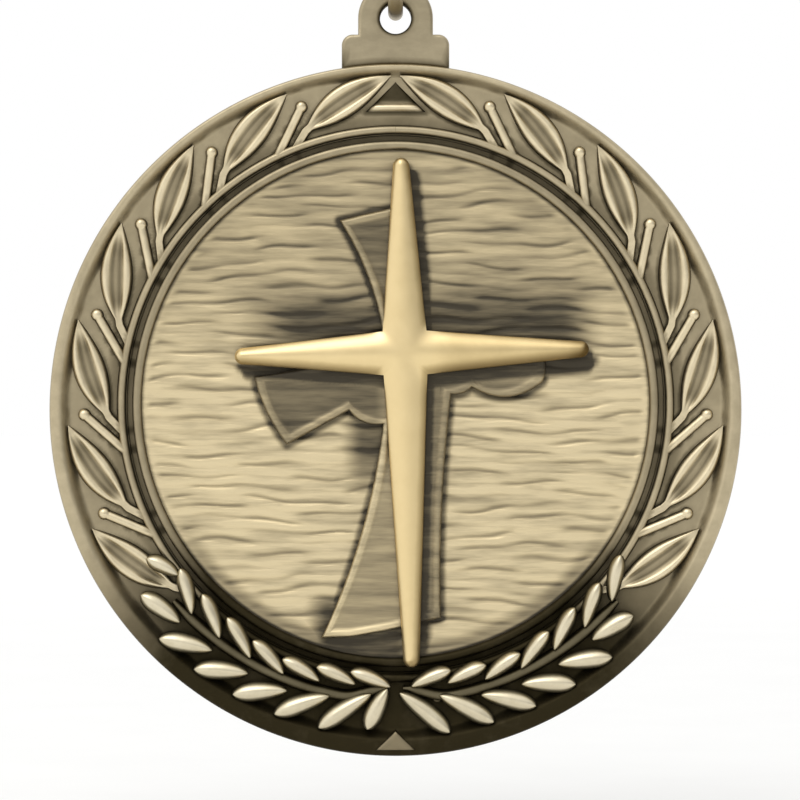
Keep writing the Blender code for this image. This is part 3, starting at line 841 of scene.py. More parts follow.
@dataclass
class Rivets:
    """Rivets that hold the bright cross and the sprays, with flush heads in the back.

    Attributes:
        shop: zones and effects.
        names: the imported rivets.
        head_t: thickness of a head.
        head_wall: a head's radius past its shank.
        fit: gap round a head in its counterbore.
        edge: rounding of a head.
        crown: how far a head's middle stands out of its edge.
        steps: points round a rivet.
    """

    shop: Workshop
    names: tuple[str, ...] = (
        "cross_rivet_upper", "cross_rivet_lower", "left_spray_rivet_root", "left_spray_rivet_tip",
        "right_spray_rivet_root", "right_spray_rivet_tip",
    )
    head_t: float = 0.4
    head_wall: float = 0.5
    fit: float = 0.1
    edge: float = 0.12
    crown: float = 0.05
    steps: int = 48

    def counterbore(self, name: str) -> Shell:
        """Blind hole in the back for a rivet's head: a turned wall and floor.

        Args:
            name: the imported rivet.

        Returns:
            The hole.
        """
        low, high = self.shop.face.box(name)
        radius = (high[0] - low[0]) / 2 + self.fit
        floor_h = self.head_t + self.fit / 2
        return Shell.turned([radius, radius, 0.0], [0.0, floor_h, floor_h], self.steps, (low + high)[:2] / 2)

    def surface(self, name: str) -> Shell:
        """Turned rivet: domed head, quarter-round edge, shank.

        Args:
            name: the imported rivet.

        Returns:
            The rivet.
        """
        low, high = self.shop.face.box(name)
        head_r = (high[0] - low[0]) / 2
        quarter = np.linspace(0, pi / 2, 5)
        dome = np.linspace(0, 1, 6)[:-1]
        flat_r = head_r - self.edge
        shank_r = head_r - self.head_wall
        radii = np.r_[dome * flat_r, flat_r + self.edge * np.sin(quarter), head_r, shank_r, shank_r, 0.0]
        heads = low[2] + np.r_[-self.crown * (1 - dome ** 2), self.edge * (1 - np.cos(quarter))]
        heights = np.r_[heads, self.head_t, self.head_t, high[2], high[2]]
        return Shell.turned(radii, heights, self.steps, (low + high)[:2] / 2)

    def hollow(self, right: Array, up: Array, height: Array) -> Array:
        """Heads rubbed in the middle and toned at their edge."""
        return 0.2 + 0.7 * ramp(height, 0.06, 0.2)

    def build(self) -> None:
        """Make and dress every rivet."""
        for name in self.names:
            self.shop.add_piece(name, [self.surface(name)], ANTIQUE, self.hollow)


@dataclass
class BorderWreath:
    """Laurel border: a half on each side, with a keystone between them at the top.

    Attributes:
        shop: zones and effects.
        stem_r: radius of the stem's middle.
        stem_half_w: half the stem's width.
        stem_t: thickness of the stem.
        end_gap: half the joint between the two stems.
        leaf_count: leaves on a side.
        leaf_pitch: degrees from one leaf to the next.
        first_tip: degrees from the top to the first leaf's tip.
        leaf_sweep: degrees that a leaf's blade leans back from its tip.
        foot_sweep: degrees from a leaf's tip to its foot on the stem.
        base_r: radius of a blade's base.
        tip_r: radius of a leaf's tip.
        leaf_half_w: half width of a blade.
        tail_half_w: half width of a leaf's tail.
        leaf_t: height of a blade's contour.
        crest_at: where the contour is highest, as a share of the half width.
        lens_at: where the lens is deepest, as a share of the half width.
        lens_sink: depth of the lens at its edge.
        lens_dome: how much the lens rises again to its middle.
        berry_half_w: half width of a berry.
        berry_t: height of a berry.
        berry_lead: degrees from a leaf's tip on to the berry beside it.
        berry_r: radius where the berries lie.
        twig_half_w: half width of a berry's twig.
        twig_t: height of a twig.
        twig_sweep: degrees from a leaf's tip back to the twig's foot.
        keystone_out: how far the keystone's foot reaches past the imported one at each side.
        keystone_down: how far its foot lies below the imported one.
        keystone_point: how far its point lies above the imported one.
    """

    shop: Workshop
    stem_r: float = 20.15
    stem_half_w: float = 0.34
    stem_t: float = 0.62
    end_gap: float = 0.01
    leaf_count: int = 7
    leaf_pitch: float = 18.6
    first_tip: float = 0.83
    leaf_sweep: float = 17.5
    foot_sweep: float = 20.5
    base_r: float = 21.05
    tip_r: float = 24.05
    leaf_half_w: float = 1.2
    tail_half_w: float = 0.34
    leaf_t: float = 0.62
    crest_at: float = 0.62
    lens_at: float = 0.22
    lens_sink: float = 0.29
    lens_dome: float = 0.07
    berry_half_w: float = 0.47
    berry_t: float = 0.66
    berry_lead: float = 1.8
    berry_r: float = 22.85
    twig_half_w: float = 0.38
    twig_t: float = 0.58
    twig_sweep: float = 6.0
    keystone_out: float = 0.5
    keystone_down: float = 0.15
    keystone_point: float = 0.3

    def stem(self, side: Side) -> Shell:
        """Half-round bar along an arc, with flat ends.

        Args:
            side: half of the face.

        Returns:
            The stem.
        """
        gap = degrees(self.end_gap / self.stem_r)
        path = polar(self.stem_r, np.linspace(gap, 180 - gap, 180), side.value)
        around = np.linspace(0, pi, 13)
        shares, rises = bedded(-np.cos(around), np.tile(self.stem_t * np.sin(around) ** 0.7, (len(path), 1)))
        return Shell.swept(relief(path, np.full(len(path), self.stem_half_w), shares, rises,
                                  level(self.shop.face.border_h)))

    def leaf_path(self, tip_angle: float, side: Side) -> tuple[Array, Array]:
        """Path of a leaf from its foot on the stem to its tip; the half width is a sine along the blade.

        Args:
            tip_angle: degrees from the top to the leaf's tip.
            side: half of the face.

        Returns:
            Places along the leaf, and the half width at each.
        """
        onward = (1 - np.cos(np.linspace(0, pi, 40))) / 2
        tail = np.linspace(0, 1, 6)[:-1, None]
        blade = polar(self.base_r + (self.tip_r - self.base_r) * onward,
                      tip_angle + self.leaf_sweep * (1 - onward), side.value)
        foot = polar(self.stem_r, tip_angle + self.foot_sweep, side.value)
        swell = self.leaf_half_w * np.sin(pi * onward) ** 0.85
        half_widths = np.maximum(swell, self.tail_half_w * (1 - 0.8 * onward))
        return (np.vstack([foot + (blade[0] - foot) * tail, blade]),
                np.r_[np.full(len(tail), self.tail_half_w), half_widths])

    def leaf(self, tip_angle: float, side: Side) -> Shell:
        """Leaf with a raised contour round a sunken lens.

        Across the leaf the height is a quarter ellipse up to the contour's crest, a smooth step down to
        the lens's edge, and a parabola up to the lens's middle.

        Args:
            tip_angle: degrees from the top to the leaf's tip.
            side: half of the face.

        Returns:
            The leaf.
        """
        path, half_widths = self.leaf_path(tip_angle, side)
        share = np.sin(np.linspace(-pi / 2, pi / 2, 33))
        size = np.abs(share)
        flank = np.sqrt(np.clip(1 - ((size - self.crest_at) / (1 - self.crest_at)) ** 2, 0, 1))
        flank = np.where(size > self.crest_at, flank, 1.0)
        sunken = 1 - ramp(size, self.lens_at, self.crest_at)
        lens = self.lens_sink * sunken - self.lens_dome * np.clip(1 - (size / self.lens_at) ** 2, 0, 1)
        full = np.clip(half_widths / self.leaf_half_w, 0, 1)[:, None]
        rises = self.leaf_t * (0.75 + 0.25 * full) * flank - lens * ramp(full, 0.25, 0.8)
        shares, rises = bedded(share, rises)
        return Shell.swept(relief(path, half_widths, shares, rises, self.shop.face.border_floor))

    def twig_path(self, tip_angle: float, side: Side) -> tuple[Array, Array]:
        """Path of a twig from the stem through its berry; the half width is the twig's, then a half round.

        Args:
            tip_angle: degrees from the top to the tip of the leaf beside it.
            side: half of the face.

        Returns:
            Places along the twig, and the half width at each.
        """
        foot = polar(self.stem_r, tip_angle + self.twig_sweep, side.value)
        berry = polar(self.berry_r, tip_angle - self.berry_lead, side.value)
        length = np.linalg.norm(berry - foot)
        turns = np.radians(np.linspace(-38, 88, 14))
        berry_places = length + self.berry_half_w * np.sin(turns)
        places = np.r_[np.linspace(0, berry_places[0] - 0.1, 8), berry_places]
        half_widths = np.r_[np.full(8, self.twig_half_w), self.berry_half_w * np.cos(turns)]
        return foot + (berry - foot) * (places / length)[:, None], half_widths

    def twig(self, tip_angle: float, side: Side) -> Shell:
        """Half-round twig that swells to a berry, higher where it is wider.

        Args:
            tip_angle: degrees from the top to the tip of the leaf beside it.
            side: half of the face.

        Returns:
            The twig.
        """
        path, half_widths = self.twig_path(tip_angle, side)
        around = np.linspace(0, pi, 13)
        widths = [0.0, self.twig_half_w, self.berry_half_w]
        tops = np.interp(half_widths, widths, [0.2, self.twig_t, self.berry_t])
        shares, rises = bedded(-np.cos(around), tops[:, None] * np.sin(around) ** 0.7)
        return Shell.swept(relief(path, half_widths, shares, rises, self.shop.face.border_floor))

    def tips(self) -> Array:
        """Angles of the leaves' tips."""
        return self.first_tip + np.arange(self.leaf_count) * self.leaf_pitch

    def half(self, side: Side) -> list[Shell]:
        """Stem, leaves and twigs of one side; the first leaf has no berry."""
        leaves = [self.leaf(tip, side) for tip in self.tips()]
        twigs = [self.twig(tip, side) for tip in self.tips()[1:]]
        return [self.stem(side), *leaves, *twigs]

    def footprint(self) -> Array:
        """Places under every leaf, twig and the keystone, with the half width there.

        Returns:
            Rows of right, up and half width.
        """
        foot_up, top_up, half_width = self.keystone_size()
        corners = np.array([[-half_width, foot_up], [0.0, top_up], [half_width, foot_up]])
        edges = [bowed(start, end, 0.0, np.linspace(0, 1, 24))
                 for start, end in zip(corners, np.roll(corners, -1, axis=0))]
        rows = [lifted(np.vstack(edges), 0.1)]
        for side in Side:
            paths = [self.leaf_path(tip, side) for tip in self.tips()]
            paths += [self.twig_path(tip, side) for tip in self.tips()[1:]]
            rows += [np.column_stack([path, half_widths])[::2] for path, half_widths in paths]
        return np.vstack(rows)

    def keystone_size(self) -> tuple[float, float, float]:
        """Height of the keystone's foot and of its point on the face, and half its width."""
        low, high = self.shop.face.box("wreath_keystone")
        half_width = (high[0] - low[0]) / 2 + self.keystone_out
        return low[1] - self.keystone_down, high[1] + self.keystone_point, half_width

    def keystone(self) -> Shell:
        """Triangle under the two top leaves, with a raised bar along its foot.

        Its width falls evenly to the point, and its height is a bell over the foot on a low rest.

        Returns:
            The keystone.
        """
        foot_up, top_up, half_width = self.keystone_size()
        onward = np.linspace(0, 1, 26)
        path = np.stack([0 * onward, foot_up + (top_up - foot_up) * onward], axis=1)
        half_widths = np.maximum(half_width * (1 - onward), 0.02)
        share = np.sin(np.linspace(-pi / 2, pi / 2, 21))
        tops = 0.24 + 0.38 * np.exp(-((onward - 0.14) / 0.14) ** 2)
        shares, rises = bedded(share, tops[:, None] * (1 - share ** 6) ** 0.5)
        return Shell.swept(relief(path, half_widths, shares, rises, self.shop.face.border_floor))

    def hollow(self, right: Array, up: Array, height: Array) -> Array:
        """Tone low on every side, in the lenses and on the stem, and painted shade over the lower border.

        Args:
            right: places on the face.
            up: places on the face.
            height: heights above the back.

        Returns:
            The tone, with painted shade.
        """
        radius = np.hypot(right, up)
        rise = height - self.shop.face.floor_at(radius)
        # Painted shade over the lower border, under the sprays.
        lower = 0.75 * ramp(from_top(right, up), 128.0, 142.0)
        on_stem = 1 - ramp(radius - self.stem_r, self.stem_half_w - 0.05, self.stem_half_w + 0.1)
        return 1 - ramp(rise, 0.18, 0.58) + lower + 0.3 * on_stem

    def build(self) -> None:
        """Make and dress both halves and the keystone."""
        for side in Side:
            self.shop.add_piece(side.name.lower() + "_border_wreath", self.half(side), ANTIQUE, self.hollow)
        self.shop.add_piece("wreath_keystone", [self.keystone()], ANTIQUE, self.hollow)


@dataclass
class StruckBody:
    """Struck disc with a rounded rim, a border and a recess.

    Attributes:
        shop: zones and effects.
        rivets: rivets whose heads are let into the back.
        wreath: border whose feet gather the tone.
        back_round: rounding of the back's edge.
        back_margin: flat ring inside that rounding.
        rim_round: how far the rim's shoulder reaches down its side.
        crest_out: how far the rim's crest lies outside the rim's inner edge.
        inner_run: width of the rim's inner slope.
        floor_lead: from that slope's foot to the floor's first row.
        recess_edge: width of the rounded edge of the recess.
        mark_half_w: half width of the small triangle on the rim.
        mark_h: its height on the face.
        mark_foot_gap: from its foot to the disc's edge.
        lower_shade_from: angle from the top where the painted shade of the lower side starts.
        lower_shade_full: angle where it is full.
        steps: points round the disc.
        floor_rows: rows of points across the border's floor.
        corner_steps: points along the rounding of the back's edge and of the rim's shoulder.
        slope_steps: points along the rim's inner slope.
    """

    shop: Workshop
    rivets: Rivets
    wreath: BorderWreath
    back_round: float = 0.35
    back_margin: float = 0.4
    rim_round: float = 0.7
    crest_out: float = 0.3
    inner_run: float = 0.95
    floor_lead: float = 0.1
    recess_edge: float = 0.12
    mark_half_w: float = 1.55
    mark_h: float = 1.5
    mark_foot_gap: float = 0.45
    lower_shade_from: float = 112.0
    lower_shade_full: float = 142.0
    steps: int = 720
    floor_rows: int = 34
    corner_steps: int = 7
    slope_steps: int = 14

    def surface(self) -> Shell:
        """Profile of back margin, back edge, side, rim, border floor and recess, turned round.

        Points from the edge to the rim's crest turn round the disc's own centre and the rest round the
        design's, so the rim is wider at the bottom than at the top.

        Returns:
            The disc without its back.
        """
        face = self.shop.face
        quarter = np.linspace(0, pi / 2, self.corner_steps)
        rise, run = np.sin(quarter), 1 - np.cos(quarter)
        crest_r = face.rim_inner_r + self.crest_out
        shoulder_w = face.disc_r - crest_r - face.edge_drop
        slope = np.linspace(0, 1, self.slope_steps)
        foot_r = crest_r - self.inner_run
        floor_r = np.linspace(foot_r - self.floor_lead, face.recess_r + self.recess_edge, self.floor_rows)
        bend = self.recess_edge / 4
        recess_r = np.array([face.recess_r + bend, face.recess_r, face.recess_r, 0.0])
        recess_h = np.array([face.border_h - bend, face.border_h - self.recess_edge,
                             face.recess_h, face.recess_h])
        parts = (
            (np.array([face.disc_r - self.back_round - self.back_margin]), np.zeros(1), face.edge_drop),
            (face.disc_r - self.back_round * (1 - rise), self.back_round * run, face.edge_drop),
            (face.disc_r - shoulder_w * run, face.rim_h - self.rim_round * (1 - rise), face.edge_drop),
            (crest_r - self.inner_run * slope,
             face.rim_h - (face.rim_h - face.floor_at(foot_r)) * ramp(slope, 0.0, 1.0), 0.0),
            (floor_r, face.floor_at(floor_r), 0.0),
            (recess_r, recess_h, 0.0),
        )
        radii = np.concatenate([radius for radius, _, _ in parts])
        heights = np.concatenate([height for _, height, _ in parts])
        drops = np.concatenate([np.full(len(radius), drop) for radius, _, drop in parts])
        return Shell.turned(radii, heights, self.steps, np.stack([0 * drops, -drops], axis=1))

    def mark(self) -> Shell:
        """Small triangle on the rim between the sprays' roots: its outline, drawn in to a low crown.

        Returns:
            The triangle.
        """
        face = self.shop.face
        low = np.array([-self.mark_half_w, 0.0])
        corners = [low, np.array([0.0, self.mark_h]), low * -1]
        shares = np.linspace(0, 1, 8, endpoint=False)
        edges = [bowed(start, end, 0.0, shares) for start, end in zip(corners, corners[1:] + corners[:1])]
        outline = np.vstack(edges) + [0.0, self.mark_foot_gap - face.disc_r - face.edge_drop]
        middle = outline.mean(axis=0)
        top_h = face.rim_h + face.mark_rise
        layers = ((1.0, face.border_h), (0.96, face.rim_h), (0.86, top_h - 0.05), (0.7, top_h), (0.4, top_h))
        rings = [lifted(middle + (outline - middle) * share, top) for share, top in layers]
        return Shell.swept(np.stack(rings))

    def hollow(self, right: Array, up: Array, height: Array) -> Array:
        """Tone on the border beside the leaves and the stem, in the groove, and painted shade over the lower
        side, under the sprays.

        Args:
            right: places on the face.
            up: places on the face.
            height: heights above the back.

        Returns:
            The tone, with painted shade.
        """
        face = self.shop.face
        radius = np.hypot(right, up)
        angle = from_top(right, up)
        inner = 1 - ramp(radius, face.recess_r + 1.0, face.recess_r + 3.8)
        feet = 1 - ramp(gap_to(self.wreath.footprint(), right, up), 0.0, 0.5)
        near_stem = 0.62 * (1 - ramp(radius, face.recess_r + 1.0, face.recess_r + 2.6))
        # Painted shade over the lower side, which the light from above misses: on the border under the
        # sprays, on the rim and on the back's edge.
        below = ramp(angle, self.lower_shade_from, self.lower_shade_full)
        foot_h = face.border_h + face.border_rise
        on_floor = 1 - ramp(height, foot_h - 0.02, foot_h + 0.3)
        floor = np.maximum.reduce([(0.35 + 0.55 * inner) * feet, near_stem, 0.95 * below])
        sides = 1 - ramp(np.abs(angle - 90), 10.0, 45.0)
        groove = (1 - 0.45 * sides) * (1 - ramp(radius, face.recess_r - 0.05, face.recess_r + 0.1))
        floor *= on_floor
        crest = 0.15 * ramp(height, face.rim_h - 0.22, face.rim_h - 0.02)
        mark = 0.4 * ramp(height, face.rim_h + 0.02, face.rim_h + 0.1)
        # The rim darkens at the bottom by painted shade; the polish on its crest and the small triangle's top
        # stay lighter.
        rim = 0.38 - crest * (1 - below) + below * (0.62 - mark)
        back = 0.1 + 0.3 * (1 - ramp(height, 0.0, 0.5)) + 0.5 * below * ramp(height, 0.1, 0.6)
        front = np.maximum.reduce([floor, groove, rim])
        return np.where(height < face.border_h - 0.9, back, front)

    def build(self) -> None:
        """Make and dress the disc."""
        holes = [self.rivets.counterbore(name) for name in self.rivets.names]
        self.shop.add_piece("medal_body", [self.surface(), self.mark(), *holes], ANTIQUE, self.hollow)


@dataclass
class BrightCross:
    """Narrow domed cross on the flared one, with its foot over the bezel.

    Attributes:
        shop: zones and effects.
        right: its crossing, right of the design's centre.
        up: its crossing, above the design's centre.
        tilt: turn of the cross to the left, in degrees.
        root_half_w: half width of an arm at the crossing.
        tip_half_w: half width of an arm at its round tip.
        side_t: height of the straight side.
        roundness: share of the crown that is a half ellipse; the rest is a parabola.
        tip_crown: height of the crown at an arm's tip, as a share.
        blend: softness of the vault where the arms meet.
        rows: points along an arm.
        columns: points across an arm.
    """

    shop: Workshop
    right: float = 0.7
    up: float = 3.73
    tilt: float = 1.2
    root_half_w: float = 1.6
    tip_half_w: float = 0.6
    side_t: float = 0.28
    roundness: float = 0.4
    tip_crown: float = 0.75
    blend: float = 0.22
    rows: int = 72
    columns: int = 31

    def arms(self) -> tuple[float, float, float, float]:
        """Lengths of the top, right, bottom and left arms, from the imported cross's box."""
        low, high = self.shop.face.box("bright_cross")
        return high[1] - self.up, high[0] - self.right, self.up - low[1], self.right - low[0]

    def taper(self, along: Array, length: float) -> Array:
        """Half width along an arm, which falls evenly to where its round tip starts."""
        places = [self.root_half_w, length - self.tip_half_w]
        return np.interp(along, places, [self.root_half_w, self.tip_half_w])

    def tip_round(self, along: Array, length: float) -> Array:
        """Share of the width that the half-round tip leaves: sqrt(1 - s^2) of the share s along the tip."""
        over = np.clip((along - length) / self.tip_half_w + 1, 0.0, 1.0)
        return np.sqrt(1 - over ** 2)

    def half_width(self, along: Array, length: float) -> Array:
        """Half width along an arm with its round tip."""
        return self.taper(along, length) * self.tip_round(along, length)

    def in_own_frame(self, right: Array, up: Array) -> tuple[Array, Array]:
        """Places along the right arm and along the top arm, from the crossing."""
        turn, aside, above = radians(self.tilt), right - self.right, up - self.up
        return aside * np.cos(turn) + above * np.sin(turn), above * np.cos(turn) - aside * np.sin(turn)

    def bars(self, across: Array, above: Array) -> list[tuple[Array, Array, Array]]:
        """Places against the upright bar and the level bar.

        Args:
            across: places along the right arm.
            above: places along the top arm.

        Returns:
            For each bar, the distance to its middle line, how far a place is past its end, and the
            bar's half width there.
        """
        top, right, bottom, left = self.arms()
        found = []
        for aside, along, ahead, behind in ((across, above, top, bottom), (above, across, right, left)):
            width = np.where(along > 0, self.half_width(along, ahead), self.half_width(-along, behind))
            past = np.maximum(np.maximum(along - ahead, -along - behind), 0.0)
            found.append((np.abs(aside), past, width))
        return found

    def gap(self, right: Array, up: Array) -> Array:
        """Distance on the face to the cross, below 0 inside it.

        It is the least of distance - half width of both bars.

        Args:
            right: places on the face.
            up: places on the face.

        Returns:
            The distances.
        """
        bars = self.bars(*self.in_own_frame(right, up))
        return np.minimum(*(np.hypot(aside, past) - width for aside, past, width in bars))

    def shadow(self, right: Array, up: Array) -> Array:
        """Dark band on what lies under the cross, to its right and below it."""
        return 1 - ramp(self.gap(right - 0.42, up + 0.8), -0.1, 0.65)

    def depth(self, across: Array, above: Array) -> Array:
        """Share of the way in from the outline to an arm's middle line.

        For each bar it is 1 - distance to its middle line / half width, and the two bars' shares are
        joined by a soft maximum.

        Args:
            across: places along the right arm.
            above: places along the top arm.

        Returns:
            The shares.
        """
        shares = [np.clip(1 - aside / np.maximum(width, 1e-3), -3.0, 1.0) / self.blend
                  for aside, _, width in self.bars(across, above)]
        return np.clip(self.blend * np.logaddexp(*shares), 0.0, 1.0)

    def arm(self, index: int) -> Shell:
        """One arm: sections across it, from the mitre at the crossing to the round tip.

        Across the arm the share runs from -1 to 1, and along it from the mitre, which lies at the share's
        size times the root's half width. The crown is part half ellipse and part parabola over the depth,
        lower to the tip, and it falls to the side's height round the tip.

        Args:
            index: quarter turns clockwise from the top arm.

        Returns:
            The arm.
        """
        low, high = self.shop.face.box("bright_cross")
        length = self.arms()[index]
        share = np.sin(np.linspace(-pi / 2, pi / 2, self.columns))
        onward = np.sin(np.linspace(0, pi / 2, self.rows))[:, None]
        start = np.abs(share) * self.root_half_w
        along = start + (length - start) * onward
        aside = share * self.half_width(along, length)
        turn = -index * pi / 2
        across = aside * np.cos(turn) - along * np.sin(turn)
        above = aside * np.sin(turn) + along * np.cos(turn)
        inward = self.depth(across, above)
        parabola = 1 - (1 - inward) ** 2
        vault = self.roundness * np.sqrt(parabola) + (1 - self.roundness) * parabola
        full = (high[2] - low[2] - self.side_t) * (1 - (1 - self.tip_crown) * ramp(along, 0.0, length))
        crown = full * vault * self.tip_round(along, length)
        tilt = radians(self.tilt)
        spots = np.stack([self.right + across * np.cos(tilt) - above * np.sin(tilt),
                          self.up + across * np.sin(tilt) + above * np.cos(tilt)], axis=-1)
        top = lifted(spots, low[2] + self.side_t + crown)
        return Shell.grid(np.concatenate([top, lifted(spots, low[2])[:, ::-1]], axis=1))

    def hollow(self, right: Array, up: Array, height: Array) -> Array:
        """Tone low on the sides, painted shade along the right and lower edges, and darker on the right arm
        and towards its tip.

        Args:
            right: places on the face.
            up: places on the face.
            height: heights above the back.

        Returns:
            The tone, with painted shade.
        """
        low, high = self.shop.face.box("bright_cross")
        # Painted shade along the right and lower edges, which face away from the light.
        edge = 0.55 * ramp(self.gap(right + 0.3, up - 0.45), -0.4, 0.35)
        right_arm = 0.2 * ramp(right, self.right + 1.5, self.right + 4.0)
        right_tip = 0.3 * ramp(right, high[0] - 2.0, high[0])
        side = 1 - ramp(height, low[2], low[2] + self.side_t + 0.15)
        return side + edge + right_arm + right_tip

    def build(self) -> None:
        """Make and dress the cross."""
        self.shop.add_piece("bright_cross", [self.arm(index) for index in range(4)], BRIGHT, self.hollow)


@dataclass
class FlaredCross:
    """Low flared cross on the field, with a raised contour round a sunken face.

    Attributes:
        shop: zones and effects.
        cross: cross whose painted shadow falls on it, and round which the zones of tone lie.
        foot_h: height of its flat underside, which is let into the field.
        profile: insets from the outline and drops from the top, from the side to the sunken face.
        head: angle, gap to the bezel's lip and swell of the next edge, at the head's corners.
        right_arm: right and up of the right arm's corners, each with the swell of the next edge.
        foot: as the head, at the foot's corners.
        left_arm: as the right arm.
        steps: points along an edge.
    """

    shop: Workshop
    cross: BrightCross
    foot_h: float = 1.65
    profile: tuple = (
        (0.0, 0.32), (0.03, 0.18), (0.09, 0.08), (0.18, 0.02), (0.27, 0.0), (0.38, 0.01), (0.5, 0.05),
        (0.62, 0.1), (0.74, 0.13), (0.82, 0.13),
    )
    head: tuple = ((-17.0, 4.55, 0.0), (3.5, 3.95, -0.8))
    right_arm: tuple = (
        (2.1, 5.4, 0.0), (10.9, 3.8, 0.2), (10.8, 1.6, 0.9), (5.6, 1.2, 0.2), (4.1, 0.7, -0.3),
    )
    foot: tuple = ((168.0, 2.6, 0.1), (191.0, 1.2, 0.0), (197.6, 0.6, -0.7))
    left_arm: tuple = (
        (-0.95, -1.5, 0.4), (-3.4, -0.5, 0.0), (-8.0, -3.0, 0.3), (-10.4, 2.0, -0.4), (-0.9, 4.8, -0.5),
    )
    steps: int = 16

    def corners(self) -> tuple[Array, Array]:
        """Corners, clockwise from the top left, and the swell of the edge after each.

        Returns:
            Places and swells.
        """
        lip_r = self.shop.face.lip_r
        head = [(*polar(lip_r - gap, angle), bow) for angle, gap, bow in self.head]
        foot = [(*polar(lip_r - gap, angle), bow) for angle, gap, bow in self.foot]
        rows = np.array([*head, *self.right_arm, *foot, *self.left_arm])
        return rows[:, :2], rows[:, 2]

    def outline(self, depth: float, finer: int = 1) -> Array:
        """Outline drawn in by a depth: the corners move on their mitres, and the edges keep their swell.

        Args:
            depth: how far every edge moves in.
            finer: how many times more points than the piece itself has.

        Returns:
            The points.
        """
        corners, bows = self.corners()
        moved = inset(corners, depth)
        shares = np.linspace(0, 1, self.steps * finer, endpoint=False)
        edges = zip(moved, np.roll(moved, -1, axis=0), bows)
        return np.vstack([bowed(start, end, bow, shares) for start, end, bow in edges])

    def surface(self) -> Shell:
        """Outline carried up its side, over the contour and down to the rim of the sunken face.

        Returns:
            The cross, open at its underside and its face.
        """
        _, high = self.shop.face.box("flared_cross")
        walls = [lifted(self.outline(depth), high[2] - drop) for depth, drop in self.profile]
        return Shell.grid(np.stack([lifted(self.outline(0.0), self.foot_h), *walls]))

    def hollow(self, right: Array, up: Array, height: Array) -> Array:
        """Tone at its foot and on its face, darker zones on its head and left arm, painted shade on the strip
        right of the bright cross, and the cross's painted shadow.

        Args:
            right: places on the face.
            up: places on the face.
            height: heights above the back.

        Returns:
            The tone, with painted shade and shadow.
        """
        _, high = self.shop.face.box("flared_cross")
        across, above = self.cross.in_own_frame(right, up)
        # Painted shade on the strip right of the bright cross's leg, away from the light.
        right_shade = ramp(across, 0.3, 1.2) * ramp(-above, 1.0, 3.0)
        head = ramp(above, 0.5, 2.5)
        left_arm = ramp(-across, 1.2, 2.4) * (1 - ramp(np.abs(above + 3.5), 3.0, 4.5))
        sunken = 1 - ramp(height, high[2] - 0.13, high[2] - 0.03)
        side = 1 - ramp(height, high[2] - 0.4, high[2] - 0.16)
        zone = np.maximum.reduce([0.3 * head, 0.3 * left_arm, 0.36 * right_shade])
        shade = 0.3 * sunken + 0.6 * side + zone * (1 - 0.4 * right_shade * sunken)
        return 0.2 + np.maximum(shade, 0.8 * self.cross.shadow(right, up))

    def build(self) -> None:
        """Make and dress the flared cross."""
        self.shop.add_piece("flared_cross", [self.surface()], GRAINED, self.hollow, fill_step=0.2)


